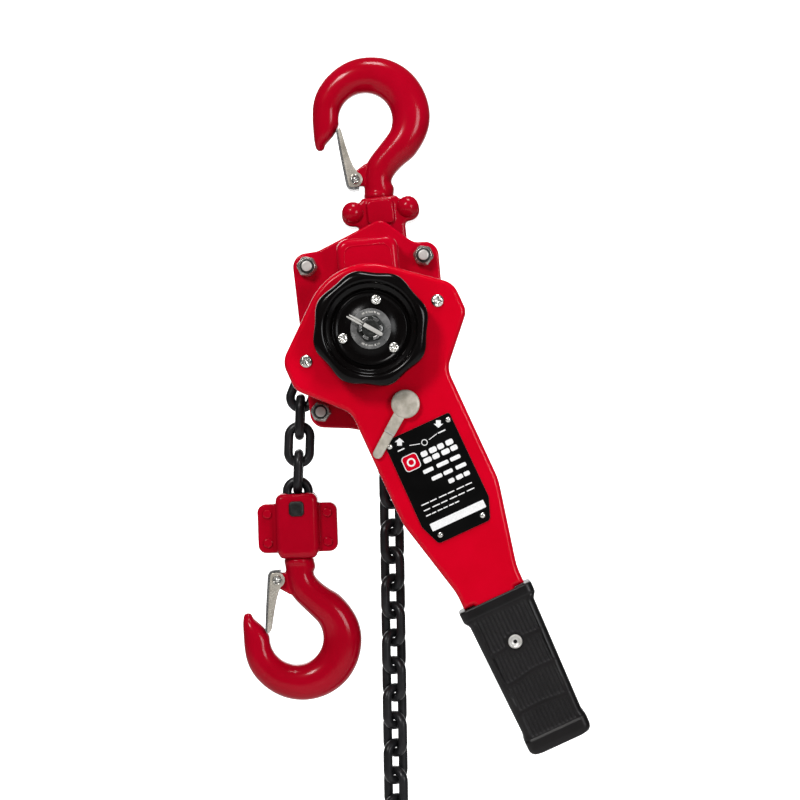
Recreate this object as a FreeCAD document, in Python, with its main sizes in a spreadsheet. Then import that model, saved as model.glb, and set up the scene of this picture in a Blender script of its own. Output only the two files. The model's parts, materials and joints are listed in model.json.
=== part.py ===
import FreeCAD, Part
import math
import os
import re
import Sketcher
from FreeCAD import Placement, Rotation, Vector

# A hand-operated lever chain hoist. Row frame: +Z up, +X to the right of the rating plate, and -Y out of the
# handwheel. The origin is the centre of the top hook's bowl. Millimetres and degrees.
# Depth words: "back" is the rear plane of a piece, and its thickness grows from there towards the handwheel.

DIMENSIONS = {
    # load chain: round wire, short links
    "wire_radius": 3.0,
    "link_pitch": 18.0,
    "link_inner_length": 18.4,
    "link_bend_radius": 6.95,
    # how the hoist hangs together
    "hook_tilt": 6.2,
    "body_tilt": 5.5,
    "lever_tilt": 24.8,
    "bottom_tilt": 2.0,
    "suspension_drop": 83.0,
    "suspension_x": 13.1,
    "suspension_z": 56.4,
    "load_run_x": -47.0,
    "load_corner_z": -42.8,
    "load_run_lean": -1.8,
    # hook forging
    "bowl_radius": 17.5,
    "hook_outer_radius": 38.7,
    "hook_outer_x": 3.8,
    "hook_outer_drop": 2.2,
    "shank_x": 3.4,
    "shank_radius": 8.4,
    "shank_length": 66.0,
    "hook_depth": 11.0,
    "latch_pin_x": -10.9,
    "latch_pin_rise": 38.7,
    "latch_pin_radius": 1.9,
    "latch_sheet": 1.4,
    "latch_inner_width": 13.0,
    "hook_nut_radius": 11.5,
    "hook_nut_height": 7.0,
    # frame plates and covers
    "plate": 4.0,
    "plate_gap": 34.0,
    "cover_flange": 4.0,
    "cover_wall": 3.0,
    "cover_rise": 20.5,
    "cover_dome_radius": 41.5,
    "hump_width": 39.0,
    "hump_top": 59.6,
    "hump_bottom": 56.0,
    "gear_cover_rise": 31.0,
    "bolt_x": 37.5,
    "bolt_top_z": 45.5,
    "bolt_bottom_z": 48.0,
    "bolt_radius": 4.0,
    "nut_flats": 13.0,
    "nut_height": 6.8,
    "sleeve_radius": 5.0,
    "suspension_pin_radius": 6.0,
    # sheave and gears
    "sheave_radius": 29.3,
    "sheave_width": 26.8,
    "groove_width": 7.4,
    "groove_radius": 16.4,
    "journal_radius": 13.0,
    "shaft_radius": 6.0,
    "pinion_module": 1.5,
    "pinion_teeth": 10,
    "reduction_teeth": 30,
    "load_module": 2.0,
    "load_pinion_teeth": 10,
    "load_gear_teeth": 20,
    "gear_centres": 30.0,
    "backlash": 0.6,
    # brake
    "brake_radius": 26.0,
    "ratchet_radius": 31.0,
    "ratchet_teeth": 12,
    "switch_gear_radius": 21.0,
    "switch_gear_teeth": 18,
    # lever
    "lever_back": -48.6,
    "lever_half": 10.6,
    "lever_wall": 3.0,
    "lever_head_radius": 41.5,
    "lobe_x": 45.0,
    "lobe_extreme": 58.9,
    "neck_half_width": 33.0,
    "neck_end": 118.0,
    "tang_half_width": 14.0,
    "grip_start": 183.5,
    "grip_end": 284.0,
    "grip_depth": 25.0,
    "selector_drop": 51.0,
    "selector_angle": 53.8,
    "selector_reach": 35.4,
    # handwheel
    "handwheel_radius": 35.6,
    "handwheel_lobes": 8,
    "handwheel_lobe_rise": 1.0,
    "handwheel_first_lobe": 18.0,
    "handwheel_back": -70.9,
    "handwheel_width": 20.6,
    "handwheel_recess_radius": 29.0,
    "cover_disc_radius": 22.5,
    "screw_circle": 18.3,
    # bottom block
    "chain_pin_radius": 3.4,
    "bottom_bowl_drop": 85.0,
    "block_half_width": 13.75,
    "block_height": 42.0,
    "flange_half_width": 26.0,
    "flange_height": 32.0,
    # free end of the chain
    "slack_run_links": 16,
    "end_ring_radius": 11.0,
    "end_ring_wire": 2.5,
}

os.makedirs("parts", exist_ok=True)
doc = FreeCAD.newDocument("lever_chain_hoist")
sheet = doc.addObject("Spreadsheet::Sheet", "dims")
for row, (alias, amount) in enumerate(DIMENSIONS.items(), start=1):
    sheet.set(f"A{row}", alias)
    sheet.set(f"B{row}", str(amount))
    sheet.setAlias(f"B{row}", alias)
doc.recompute()

DEPTH_AXIS = Vector(0, 1, 0)
NODES = []


# ---------------------------------------------------------------- sheet helpers

def formula(text):
    """The text with every alias written as a reference to the sheet."""
    return re.sub(r"[a-z_]+", lambda word: ("dims." if word[0] in DIMENSIONS else "") + word[0], text)


def value(text):
    """What a formula in sheet aliases comes to, as a number."""
    return float(sheet.evalExpression(formula(text)))


def bind(obj, **properties):
    """Bind properties of an object to formulas in sheet aliases."""
    for name, text in properties.items():
        obj.setExpression(name.replace("__", "."), formula(text))


def turned(degrees, base=Vector(0, 0, 0)):
    """A placement turned anticlockwise, as seen from the handwheel side."""
    return Placement(base, Rotation(DEPTH_AXIS, -degrees))


def node(obj, label, group=Placement()):
    """Name a sub-part and put it where its group stands."""
    obj.Label = label
    obj.Placement = group.multiply(obj.Placement)
    NODES.append(obj)
    return obj


# ---------------------------------------------------------------- groups of pieces and where they stand

HOOK = turned(value("hook_tilt"))
_pin = HOOK.multVec(Vector(value("shank_x"), 0, -value("suspension_drop")))
_arm = turned(value("body_tilt")).multVec(Vector(value("suspension_x"), 0, value("suspension_z")))
SHAFT = _pin.sub(_arm)
BODY = turned(value("body_tilt"), SHAFT)
LEVER = turned(value("lever_tilt"), SHAFT)
CHAIN = Placement(SHAFT, Rotation())
_hang = value("4 * link_pitch - chain_pin_radius + wire_radius + 0.1")
_lean = math.radians(value("load_run_lean"))
_corner = Vector(value("load_run_x"), 0, value("load_corner_z"))
_chain_pin = _corner.add(Vector(_hang * math.sin(_lean), 0, -_hang * math.cos(_lean)))
BLOCK = turned(value("bottom_tilt"), SHAFT.add(_chain_pin))
BOTTOM_HOOK = BLOCK.multiply(Placement(Vector(value("-shank_x"), 0, value("-bottom_bowl_drop")), Rotation()))


# ---------------------------------------------------------------- shape helpers

def round_corners(corners):
    """Edges of a closed outline from corners (x, z, radius): straight runs joined by tangent arcs."""
    count = len(corners)
    ends = []
    for i, (x, z, radius) in enumerate(corners):
        here = Vector(x, z, 0)
        before = Vector(*corners[i - 1][:2], 0).sub(here).normalize()
        after = Vector(*corners[(i + 1) % count][:2], 0).sub(here).normalize()
        half = before.getAngle(after) / 2
        if radius == 0:
            ends.append((here, here, here))
            continue
        reach = radius / math.tan(half)
        bisector = before.add(after).normalize()
        middle = here.add(bisector.multiply(radius / math.sin(half) - radius))
        ends.append((here.add(before.multiply(reach)), middle, here.add(after.multiply(reach))))
    edges = []
    for i, (start, middle, end) in enumerate(ends):
        if start.distanceToPoint(end) > 1e-6:
            edges.append(Part.Arc(start, middle, end))
        following = ends[(i + 1) % count][0]
        if end.distanceToPoint(following) > 1e-6:
            edges.append(Part.LineSegment(end, following))
    return edges


def mirror_corners(half):
    """Corners of a symmetric outline from those of its right half, listed top to bottom."""
    return half + [(-x, z, r) for x, z, r in reversed(half) if x != 0]


def box_corners(left, right, bottom, top, radius):
    """Corners of a rounded rectangle."""
    return [(left, top, radius), (right, top, radius), (right, bottom, radius), (left, bottom, radius)]


def facing_sketch(body, name, back):
    """An empty sketch facing the handwheel side, in the plane y = back."""
    sketch = body.newObject("Sketcher::SketchObject", name)
    plane = next(f for f in body.Origin.OriginFeatures if f.Role == "XZ_Plane")
    sketch.AttachmentSupport = [(plane, "")]
    sketch.MapMode = "FlatFace"
    sketch.setExpression("AttachmentOffset.Base.z", formula(f"-({back})"))
    return sketch


def pad(body, name, outlines, back, depth):
    """Add one or more closed outlines, from y = back towards the front."""
    sketch = facing_sketch(body, name + "_sketch", back)
    for outline in outlines:
        for edge in outline:
            sketch.addGeometry(edge, False)
    feature = body.newObject("PartDesign::Pad", name)
    feature.Profile = sketch
    bind(feature, Length=depth)
    doc.recompute()
    return feature


def circles(sketch, holes):
    """Circles (x, z, radius formula) in a sketch, each with its radius bound to the sheet."""
    for x, z, radius in holes:
        index = sketch.addGeometry(Part.Circle(Vector(x, z, 0), Vector(0, 0, 1), value(radius)), False)
        constraint = sketch.addConstraint(Sketcher.Constraint("Radius", index, value(radius)))
        sketch.setExpression(f"Constraints[{constraint}]", formula(radius))


def pad_discs(body, name, discs, back, depth):
    """Add discs (x, z, radius formula) to a body."""
    sketch = facing_sketch(body, name + "_sketch", back)
    circles(sketch, discs)
    feature = body.newObject("PartDesign::Pad", name)
    feature.Profile = sketch
    bind(feature, Length=depth)
    doc.recompute()
    return feature


def pocket(body, name, outlines, back, depth, holes=()):
    """Cut outlines and round holes, from y = back towards the front, and check that they cut."""
    before = body.Shape.Volume
    sketch = facing_sketch(body, name + "_sketch", back)
    for outline in outlines:
        for edge in outline:
            sketch.addGeometry(edge, False)
    circles(sketch, holes)
    feature = body.newObject("PartDesign::Pocket", name)
    feature.Profile = sketch
    feature.Reversed = True
    bind(feature, Length=depth)
    doc.recompute()
    if body.Shape.Volume > before - 1.0:
        raise RuntimeError(f"{name} of {body.Label} cuts nothing")
    return feature


def soften(body, name, radius, chooser):
    """Fillet the edges of a body that the chooser accepts."""
    base = body.Tip
    chosen = [f"Edge{i}" for i, edge in enumerate(base.Shape.Edges, start=1) if chooser(edge)]
    if not chosen:
        raise RuntimeError(f"{name} of {body.Label} has no edges")
    feature = body.newObject("PartDesign::Fillet", name)
    feature.Base = (base, chosen)
    bind(feature, Radius=radius)
    doc.recompute()
    if "Invalid" in feature.State:
        raise RuntimeError(f"{name} of {body.Label} failed: {feature.getStatusString()}")
    return feature


def on_plane(y):
    """A chooser for the edges that lie in one plane facing the front."""
    level = value(y)
    return lambda edge: abs(edge.BoundBox.YMin - level) < 1e-4 and abs(edge.BoundBox.YMax - level) < 1e-4


def new_body(name):
    return doc.addObject("PartDesign::Body", name)


def drum(name, radius, back, depth, x=0.0, z=0.0):
    """A cylinder along the depth axis, from y = back towards the front."""
    cylinder = doc.addObject("Part::Cylinder", name)
    bind(cylinder, Radius=radius, Height=depth)
    cylinder.Placement = Placement(Vector(x, value(back), z), Rotation(Vector(1, 0, 0), 90))
    return cylinder


def fuse(name, pieces):
    result = doc.addObject("Part::MultiFuse", name)
    result.Shapes = pieces
    doc.recompute()
    return result


def cut(name, base, tools):
    """A base with one or more tools cut away."""
    result = doc.addObject("Part::Cut", name)
    result.Base = base
    result.Tool = tools[0] if len(tools) == 1 else fuse(name + "_tools", tools)
    doc.recompute()
    return result


def ring(name, outer, inner, back, depth, x=0.0, z=0.0):
    """A flat ring or sleeve along the depth axis."""
    bore = drum(name + "_bore", inner, f"({back}) + 1", f"({depth}) + 2", x, z)
    return cut(name, drum(name + "_disc", outer, back, depth, x, z), [bore])


def feature(name, shape):
    """A feature that holds a shape worked out from the sheet by Part's own functions."""
    holder = doc.addObject("Part::Feature", name)
    holder.Shape = shape
    return holder


def together(name, pieces):
    """Separate solids in one node."""
    compound = doc.addObject("Part::Compound", name)
    compound.Links = pieces
    doc.recompute()
    return compound


def prism(outline, back, depth):
    """A solid from one closed outline, from y = back towards the front."""
    wire = Part.Wire(Part.__sortEdges__([edge.toShape() for edge in outline]))
    face = Part.Face(wire)
    face.rotate(Vector(0, 0, 0), Vector(1, 0, 0), 90)
    face.translate(Vector(0, back, 0))
    return face.extrude(Vector(0, -depth, 0))


def hexagon(across_flats, turn=0.0):
    """Outline of a hexagon."""
    radius = across_flats / math.sqrt(3)
    points = [Vector(radius * math.cos(math.radians(60 * i + turn)),
                     radius * math.sin(math.radians(60 * i + turn)), 0) for i in range(6)]
    return [Part.LineSegment(points[i], points[(i + 1) % 6]) for i in range(6)]


# ---------------------------------------------------------------- chain links

def link_solid(centre, direction, roll):
    """One link. Roll 0 lies flat to the side plates, and roll 90 stands across them."""
    bend = value("link_bend_radius")
    straight = value("link_inner_length / 2 - link_bend_radius + wire_radius")
    wire = value("wire_radius")
    path = Part.Wire([
        Part.LineSegment(Vector(bend, 0, -straight), Vector(bend, 0, straight)).toShape(),
        Part.Arc(Vector(bend, 0, straight), Vector(0, 0, straight + bend), Vector(-bend, 0, straight)).toShape(),
        Part.LineSegment(Vector(-bend, 0, straight), Vector(-bend, 0, -straight)).toShape(),
        Part.Arc(Vector(-bend, 0, -straight), Vector(0, 0, -straight - bend), Vector(bend, 0, -straight)).toShape(),
    ])
    section = Part.Wire([Part.Circle(Vector(bend, 0, 0), Vector(0, 0, 1), wire).toShape()])
    section.translate(Vector(0, 0, -straight))
    solid = path.makePipeShell([section], True, True)
    across = Vector(-direction.z, 0, direction.x)
    turn = math.radians(roll)
    width = across.multiply(math.cos(turn)).add(Vector(0, math.sin(turn), 0))
    solid.Placement = Placement(centre, Rotation(width, Vector(0, 0, 0), direction, "ZXY"))
    return solid


def walk(start, steps):
    """Points from a start, one per step (heading, span). A heading of 0 points down, and a positive one right."""
    points = [start]
    for heading, span in steps:
        turn = math.radians(heading)
        points.append(points[-1].add(Vector(span * math.sin(turn), 0, -span * math.cos(turn))))
    return points


def links_between(points, rolls):
    """Links centred between consecutive points."""
    solids = []
    for first, second, roll in zip(points, points[1:], rolls):
        middle = first.add(second).multiply(0.5)
        solids.append(link_solid(middle, first.sub(second).normalize(), roll))
    return solids


# The chain bends in the plane of the sheave, at the end wires of the links that lie across it. LYING is how far
# apart a lying link's own end wires are, and STANDING how far apart the two wires are that a standing link holds.
LYING = value("link_inner_length + 2 * wire_radius")
STANDING = value("2 * link_pitch") - LYING
POCKETS = 5
POCKET_ANGLE = 360.0 / POCKETS
_half = math.radians(POCKET_ANGLE / 2)
WRAP_RADIUS = math.sqrt(LYING ** 2 + STANDING ** 2 + 2 * LYING * STANDING * math.cos(_half)) / (2 * math.sin(_half))
LYING_ANGLE = 2 * math.degrees(math.asin(LYING / 2 / WRAP_RADIUS))
STANDING_ANGLE = POCKET_ANGLE - LYING_ANGLE
LOAD_CORNER = Vector(value("load_run_x"), 0, value("load_corner_z"))


def leave_angle():
    """Where the load chain leaves the sheave: three links up from the corner of its hanging run."""
    lean = 2 * STANDING + LYING
    reach = LOAD_CORNER.Length
    at_corner = math.acos((reach ** 2 + lean ** 2 - WRAP_RADIUS ** 2) / (2 * reach * lean))
    direction = math.atan2(-LOAD_CORNER.z, -LOAD_CORNER.x) + at_corner
    leave = LOAD_CORNER.add(Vector(lean * math.cos(direction), 0, lean * math.sin(direction)))
    return math.degrees(math.atan2(leave.z, leave.x))


LEAVE_ANGLE = leave_angle()
SLACK_RUN_HEADING = 0.9


def on_wrap_circle(degrees):
    turn = math.radians(degrees)
    return Vector(WRAP_RADIUS * math.cos(turn), 0, WRAP_RADIUS * math.sin(turn))


def wrap_points():
    """End wires of the lying links on the sheave, from the load side over the top to the slack side."""
    angles = [LEAVE_ANGLE]
    for turn in (LYING_ANGLE, STANDING_ANGLE, LYING_ANGLE, STANDING_ANGLE, LYING_ANGLE):
        angles.append(angles[-1] - turn)
    return [on_wrap_circle(angle) for angle in angles]


WRAP = wrap_points()
SLACK_LEAN = walk(WRAP[-1], [(-12.0, STANDING), (-28.0, LYING), (-14.0, STANDING)])
SLACK_RUN = walk(SLACK_LEAN[-1], [(SLACK_RUN_HEADING, LYING), (SLACK_RUN_HEADING, STANDING)]
                 * (DIMENSIONS["slack_run_links"] // 2))


def chain():
    """The load chain, from the bottom block over the sheave to its free end."""
    lean_heading = math.degrees(math.atan2(LOAD_CORNER.x - WRAP[0].x, WRAP[0].z - LOAD_CORNER.z))
    lean = walk(WRAP[0], [(lean_heading, STANDING), (lean_heading, LYING), (lean_heading, STANDING)])
    node(feature("chain_lean", Part.Compound(links_between(lean, (0, 90, 0)))), "load_chain_lean", CHAIN)
    hang = value("load_run_lean")
    run = walk(LOAD_CORNER, [(hang, LYING), (hang, STANDING)] * 2)
    for i, solid in enumerate(links_between(run, (90, 0, 90, 0)), start=1):
        node(feature(f"chain_link_{i}", solid), f"load_link_{i}", CHAIN)
    node(feature("chain_wrap", Part.Compound(links_between(WRAP, (90, 0, 90, 0, 90)))), "sheave_links", CHAIN)
    node(feature("slack_lean", Part.Compound(links_between(SLACK_LEAN, (0, 90, 0)))), "slack_chain_lean", CHAIN)
    rolls = [105, 30] + [135, 45] * (DIMENSIONS["slack_run_links"] // 2 - 1)
    solids = links_between(SLACK_RUN, rolls)
    half = len(solids) // 2
    for i, group in enumerate((solids[:half], solids[half:]), start=1):
        node(feature(f"slack_run_{i}", Part.Compound(group)), f"slack_chain_{i}", CHAIN)


def end_ring():
    """A closed ring in the last link, which stops the chain from running out through the frame."""
    torus = doc.addObject("Part::Torus", "end_ring_torus")
    bind(torus, Radius1="end_ring_radius", Radius2="end_ring_wire")
    along = SLACK_RUN[-1].sub(SLACK_RUN[-2]).normalize()
    centre = SLACK_RUN[-1].add(along.multiply(value("end_ring_radius + 0.3")))
    side = math.sin(math.radians(45))
    torus.Placement = Placement(centre, Rotation(Vector(0, 0, 1), Vector(-side, side, 0)))
    node(torus, "chain_end_ring", CHAIN)


# ---------------------------------------------------------------- hooks

def hook_outer_point(degrees):
    """Where a ray from the bowl centre meets the outer circle of the forging. Shank upwards."""
    ray = Vector(math.cos(math.radians(degrees)), 0, math.sin(math.radians(degrees)))
    centre = Vector(value("hook_outer_x"), 0, value("-hook_outer_drop"))
    along = centre.dot(ray)
    reach = along + math.sqrt(along ** 2 - centre.Length ** 2 + value("hook_outer_radius") ** 2)
    return ray.multiply(reach)


def hook_section(inner, outer, half_depth):
    """An oval section between an inner and an outer point of the forging."""
    middle = inner.add(outer).multiply(0.5)
    half = outer.sub(inner).multiply(0.5)
    points = []
    for step in range(12):
        turn = 2 * math.pi * step / 12
        swell = abs(math.cos(turn)) ** 0.9 * (1 if math.cos(turn) >= 0 else -1)
        point = middle.add(Vector(half.x * swell, 0, half.z * swell))
        points.append(point.add(Vector(0, half_depth * math.sin(turn), 0)))
    curve = Part.BSplineCurve()
    curve.interpolate(Points=points, PeriodicFlag=True)
    return Part.Wire([curve.toShape()])


def hook_shape():
    """The forging with its shank upwards and its tip on the left, about the bowl centre."""
    bowl = value("bowl_radius") - 0.35
    depth = value("hook_depth")
    axis = value("shank_x")
    shank = value("shank_radius")
    stations = [
        (Vector(axis - shank - 1.0, 0, 50.5), Vector(axis + shank + 1.4, 0, 50.5), shank + 0.8),
        (Vector(axis - shank - 0.4, 0, 43.5), Vector(axis + shank + 1.2, 0, 43.5), shank + 0.6),
        (Vector(-3.2, 0, 30.5), Vector(15.4, 0, 37.6), 9.4),
        (Vector(4.0, 0, 20.6), Vector(23.4, 0, 31.0), 10.2),
    ]
    for degrees in (42, 18, -10, -40, -70, -100, -130, -158, -182):
        inner = Vector(bowl * math.cos(math.radians(degrees)), 0, bowl * math.sin(math.radians(degrees)))
        narrow = max(0.0, -degrees - 100) / 82 * 3.0
        stations.append((inner, hook_outer_point(degrees), depth - narrow))
    stations += [
        (Vector(-21.0, 0, 7.2), Vector(-34.9, 0, 6.8), 7.0),
        (Vector(-25.2, 0, 11.4), Vector(-34.8, 0, 11.2), 5.4),
        (Vector(-28.6, 0, 14.8), Vector(-34.2, 0, 14.6), 3.2),
    ]
    forging = Part.makeLoft([hook_section(*station) for station in stations], True, False)
    nose = Part.makeSphere(3.1, Vector(-31.3, 0, 14.3))
    rod = Part.makeCylinder(shank, value("shank_length - 49"), Vector(axis, 0, 49.0))
    neck = Part.makeCylinder(value("shank_radius + 1.4"), 2.8, Vector(axis, 0, 49.1))
    lug = prism(round_corners([(-15.4, 43.2, 4.45), (-15.4, 36.15, 4.45), (-2.0, 28.0, 1.0), (0.0, 43.2, 1.0)]),
                4.5, 9.0)
    hook = forging.fuse([nose, rod, neck, lug]).removeSplitter()
    eye = Part.makeCylinder(value("latch_pin_radius + 0.05"), 30.0,
                            Vector(value("latch_pin_x"), -15.0, value("latch_pin_rise")), DEPTH_AXIS)
    seat = Part.makeCylinder(value("bowl_radius"), 40.0, Vector(0, -20, 0), DEPTH_AXIS)
    return hook.cut([eye, seat])


def latch_shape():
    """A folded sheet latch: a back web and two cheeks that straddle the lug, ending inside the hook's tip."""
    sheet_thickness = value("latch_sheet")
    half = value("latch_inner_width / 2")
    pin = Vector(value("latch_pin_x"), 0, value("latch_pin_rise"))
    toe = Vector(-17.7, 0, 6.4)
    profile = [(pin.x + 4.9, pin.z + 4.9, 4.6), (pin.x - 6.4, pin.z + 4.9, 2.2), (toe.x - 1.4, toe.z, 0.4),
               (toe.x + 0.9, toe.z, 0.4), (pin.x - 1.6, pin.z - 13.0, 8.0), (pin.x + 4.9, pin.z - 5.0, 3.0)]
    outside = prism(round_corners(profile), half + sheet_thickness, 2 * (half + sheet_thickness))
    hollow = [(pin.x + 30, 80, 0), (pin.x - 4.9, 80, 0), (pin.x - 4.9, pin.z + 3.0, 0),
              (toe.x - 0.2, toe.z - 5, 0), (toe.x + 30, toe.z - 5, 0)]
    inside = prism(round_corners(hollow), half, 2 * half)
    hole = Part.makeCylinder(value("latch_pin_radius + 0.05"), 60.0, Vector(pin.x, -30, pin.z), DEPTH_AXIS)
    return outside.cut([inside, hole])


def latch_pin_shape():
    """A headed rivet through the latch's cheeks and the lug."""
    half = value("latch_inner_width / 2 + latch_sheet")
    pin = Vector(value("latch_pin_x"), 0, value("latch_pin_rise"))
    stem = Part.makeCylinder(value("latch_pin_radius"), 2 * half + 0.4, Vector(pin.x, -half - 0.2, pin.z), DEPTH_AXIS)
    front = Part.makeCylinder(3.0, 1.2, Vector(pin.x, -half - 1.3, pin.z), DEPTH_AXIS)
    rear = Part.makeCylinder(3.0, 1.2, Vector(pin.x, half + 0.1, pin.z), DEPTH_AXIS)
    return stem.fuse([front, rear]).removeSplitter()


def hook_nut_shape():
    """The round nut that holds the shank in its yoke."""
    base = Vector(value("shank_x"), 0, 57.2)
    blank = Part.makeCylinder(value("hook_nut_radius"), value("hook_nut_height"), base)
    return blank.cut(Part.makeCylinder(value("shank_radius + 0.02"), 20, Vector(base.x, 0, 50)))


def hook_set(prefix, group):
    """A hook with its latch, pin and nut. The shank points up in the set's own frame."""
    shapes = {"hook": hook_shape(), "latch_pin": latch_pin_shape(), "hook_nut": hook_nut_shape(),
              "latch": latch_shape()}
    for name, shape in shapes.items():
        if prefix == "top":
            shape = shape.mirror(Vector(0, 0, 0), Vector(0, 0, 1))
        node(feature(f"{prefix}_{name}_forging", shape), f"{prefix}_{name}", group)


# ---------------------------------------------------------------- top yoke

def yoke_corners(half_ear, top, ear_low, neck_half, low):
    """Half outline of a yoke: ears on top of a narrower tongue with a round foot."""
    return mirror_corners([
        (11.0, top, 2.5), (13.2, top - 2.6, 2.0), (half_ear, top - 2.4, 7.4), (half_ear, ear_low, 7.0),
        (neck_half, ear_low - 1.5, 2.5),
        (neck_half, low, neck_half - 0.2),
    ])


def top_yoke():
    """The yoke that the top hook swivels in, hung on the suspension pin."""
    centre = value("shank_x")
    drop = value("suspension_drop")
    body = new_body("top_yoke_body")
    outline = [(x + centre, z, r) for x, z, r in yoke_corners(25.4, -52.0, -68.6, 15.2, -drop - 13.6)]
    pad(body, "yoke_blank", [round_corners(outline)], "13", "26")
    front = [round_corners(box_corners(centre - 8.6, centre + 8.6, -70.0, -54.5, 3.0))]
    pad(body, "yoke_boss", front, "-13", "2.4")
    soften(body, "yoke_edges", "2.4", lambda edge: on_plane("-13")(edge) and abs(edge.BoundBox.ZMax + 61) > 12)
    pin_hole = [(centre, -drop, "suspension_pin_radius + 0.05")]
    pocket(body, "yoke_pin_hole", [], "14", "30", pin_hole)
    window = [round_corners(box_corners(centre - 12.4, centre + 12.4, -75.0, -56.4, 2.0))]
    pocket(body, "yoke_window", window, "14", "25.6")
    rivet_holes = [(centre - 18.0, -60.6, "4.0"), (centre + 18.0, -60.6, "4.0")]
    pocket(body, "yoke_rivet_holes", [], "14", "30", rivet_holes)
    bore = doc.addObject("Part::Cylinder", "yoke_shank_bore")
    bind(bore, Radius="shank_radius + 0.06", Height="30")
    bore.Placement = Placement(Vector(centre, 0, -70.0), Rotation())
    node(cut("top_yoke_bored", body, [bore]), "top_yoke", HOOK)
    rivets = []
    for side in (-1, 1):
        x = centre + side * 18.0
        stem = drum(f"yoke_rivet_stem_{side + 1}", "3.96", "14", "28", x, -60.6)
        heads = []
        for name, base, sign in (("front", -12.9, -1), ("rear", 12.9, 1)):
            head = doc.addObject("Part::Sphere", f"yoke_rivet_{name}_{side + 1}")
            bind(head, Radius="7.9")
            head.Placement = Placement(Vector(x, base - sign * 3.0, -60.6), Rotation())
            heads.append(head)
        slab = doc.addObject("Part::Box", f"yoke_rivet_trim_{side + 1}")
        bind(slab, Length="20", Width="26.2", Height="20")
        slab.Placement = Placement(Vector(x - 10, -13.1, -70.6), Rotation())
        domes = cut(f"yoke_rivet_domes_{side + 1}", fuse(f"yoke_rivet_heads_{side + 1}", heads), [slab])
        rivets.append(fuse(f"yoke_rivet_{side + 1}", [stem, domes]))
    node(together("top_yoke_rivet_pair", rivets), "top_yoke_rivets", HOOK)


# ---------------------------------------------------------------- frame

def plate_corners():
    """Outline of the side plates and of the covers' flanges, around the four stay bolts."""
    return [
        (-46.9, 54.0, 9.0), (-30.0, 55.0, 12.0), (12.6, 72.2, 9.0), (32.0, 54.8, 10.0), (47.6, 54.6, 9.2),
        (46.8, -57.6, 9.2), (28.0, -59.0, 12.0), (6.0, -67.4, 14.0), (-20.0, -60.6, 12.0), (-44.6, -57.4, 9.2),
    ]


def bolt_places():
    x = value("bolt_x")
    top = value("bolt_top_z")
    low = -value("bolt_bottom_z")
    return [(-x, top), (x, top), (-x + 1.5, low), (x - 1.0, low)]


def side_plates():
    """Two plates that carry the sheave's bushes, the stay bolts and the suspension pin."""
    for name, back in (("rear_side_plate", "plate_gap / 2 + plate"), ("front_side_plate", "-plate_gap / 2")):
        body = new_body(name + "_body")
        pad(body, name + "_blank", [round_corners(plate_corners())], back, "plate")
        holes = [(x, z, "bolt_radius + 0.05") for x, z in bolt_places()]
        holes.append((0, 0, "journal_radius + 3.02"))
        holes.append((value("suspension_x"), value("suspension_z"), "suspension_pin_radius + 0.02"))
        if name.startswith("rear"):
            for side in (-1, 1):
                holes.append((0, side * value("gear_centres"), "4.05"))
        else:
            for x, z in pawl_pin_places():
                holes.append((x, z, "3.02"))
        pocket(body, name + "_holes", [], f"({back}) + 1", "plate + 2", holes)
        node(body, name, BODY)


def pawl_pin_places():
    return [(11.5, 45.5), (-8.0, -46.2)]


def raised_outline(grow):
    """Outline of the brake housing: a round case that runs into a square hump above and below."""
    radius = value("cover_dome_radius") + grow
    left = value("2 - hump_width / 2") - grow
    right = value("2 + hump_width / 2") + grow
    top = value("hump_top") + grow
    low = -value("hump_bottom") - grow
    reach = {x: math.sqrt(radius ** 2 - x ** 2) for x in (left, right)}
    edges = [
        Part.Arc(Vector(right, reach[right], 0), Vector(radius, 0, 0), Vector(right, -reach[right], 0)),
        Part.LineSegment(Vector(right, -reach[right], 0), Vector(right, low, 0)),
        Part.LineSegment(Vector(right, low, 0), Vector(left, low, 0)),
        Part.LineSegment(Vector(left, low, 0), Vector(left, -reach[left], 0)),
        Part.Arc(Vector(left, -reach[left], 0), Vector(-radius, 0, 0), Vector(left, reach[left], 0)),
        Part.LineSegment(Vector(left, reach[left], 0), Vector(left, top, 0)),
        Part.LineSegment(Vector(left, top, 0), Vector(right, top, 0)),
        Part.LineSegment(Vector(right, top, 0), Vector(right, reach[right], 0)),
    ]
    return edges


def brake_cover():
    """The front casting over the brake, clamped by the stay bolts."""
    body = new_body("brake_cover_body")
    front = "-plate_gap / 2 - plate - 0.02"
    pad(body, "brake_flange", [round_corners(plate_corners())], front, "cover_flange")
    pad(body, "brake_case", [raised_outline(0.0)], front, "cover_flange + cover_rise")
    corner_x = {round(value("2 - hump_width / 2"), 3), round(value("2 + hump_width / 2"), 3)}

    def upright_corner(edge):
        box = edge.BoundBox
        high = max(abs(box.ZMin - value("hump_top")), abs(box.ZMax - value("hump_top"))) < 0.01
        low = max(abs(box.ZMin + value("hump_bottom")), abs(box.ZMax + value("hump_bottom"))) < 0.01
        return (high or low) and box.YLength > 5 and round(box.XMin, 3) in corner_x

    soften(body, "hump_corners", "7.4", upright_corner)
    soften(body, "case_edges", "4.0", on_plane(f"({front}) - cover_flange - cover_rise"))
    soften(body, "flange_edges", "1.4", lambda edge: on_plane(f"({front}) - cover_flange")(edge)
           and max(abs(edge.BoundBox.XMin), abs(edge.BoundBox.XMax)) > 43.5)
    cavity = raised_outline(-value("cover_wall"))
    behind = "-plate_gap / 2 - plate + 1"
    pocket(body, "brake_cavity", [cavity], behind, "1 + cover_flange + cover_rise - cover_wall")
    holes = [(x, z, "bolt_radius + 0.05") for x, z in bolt_places()]
    holes.append((0, 0, "17.0"))
    pocket(body, "brake_cover_holes", [], behind, "40", holes)
    node(body, "brake_cover", BODY)


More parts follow.
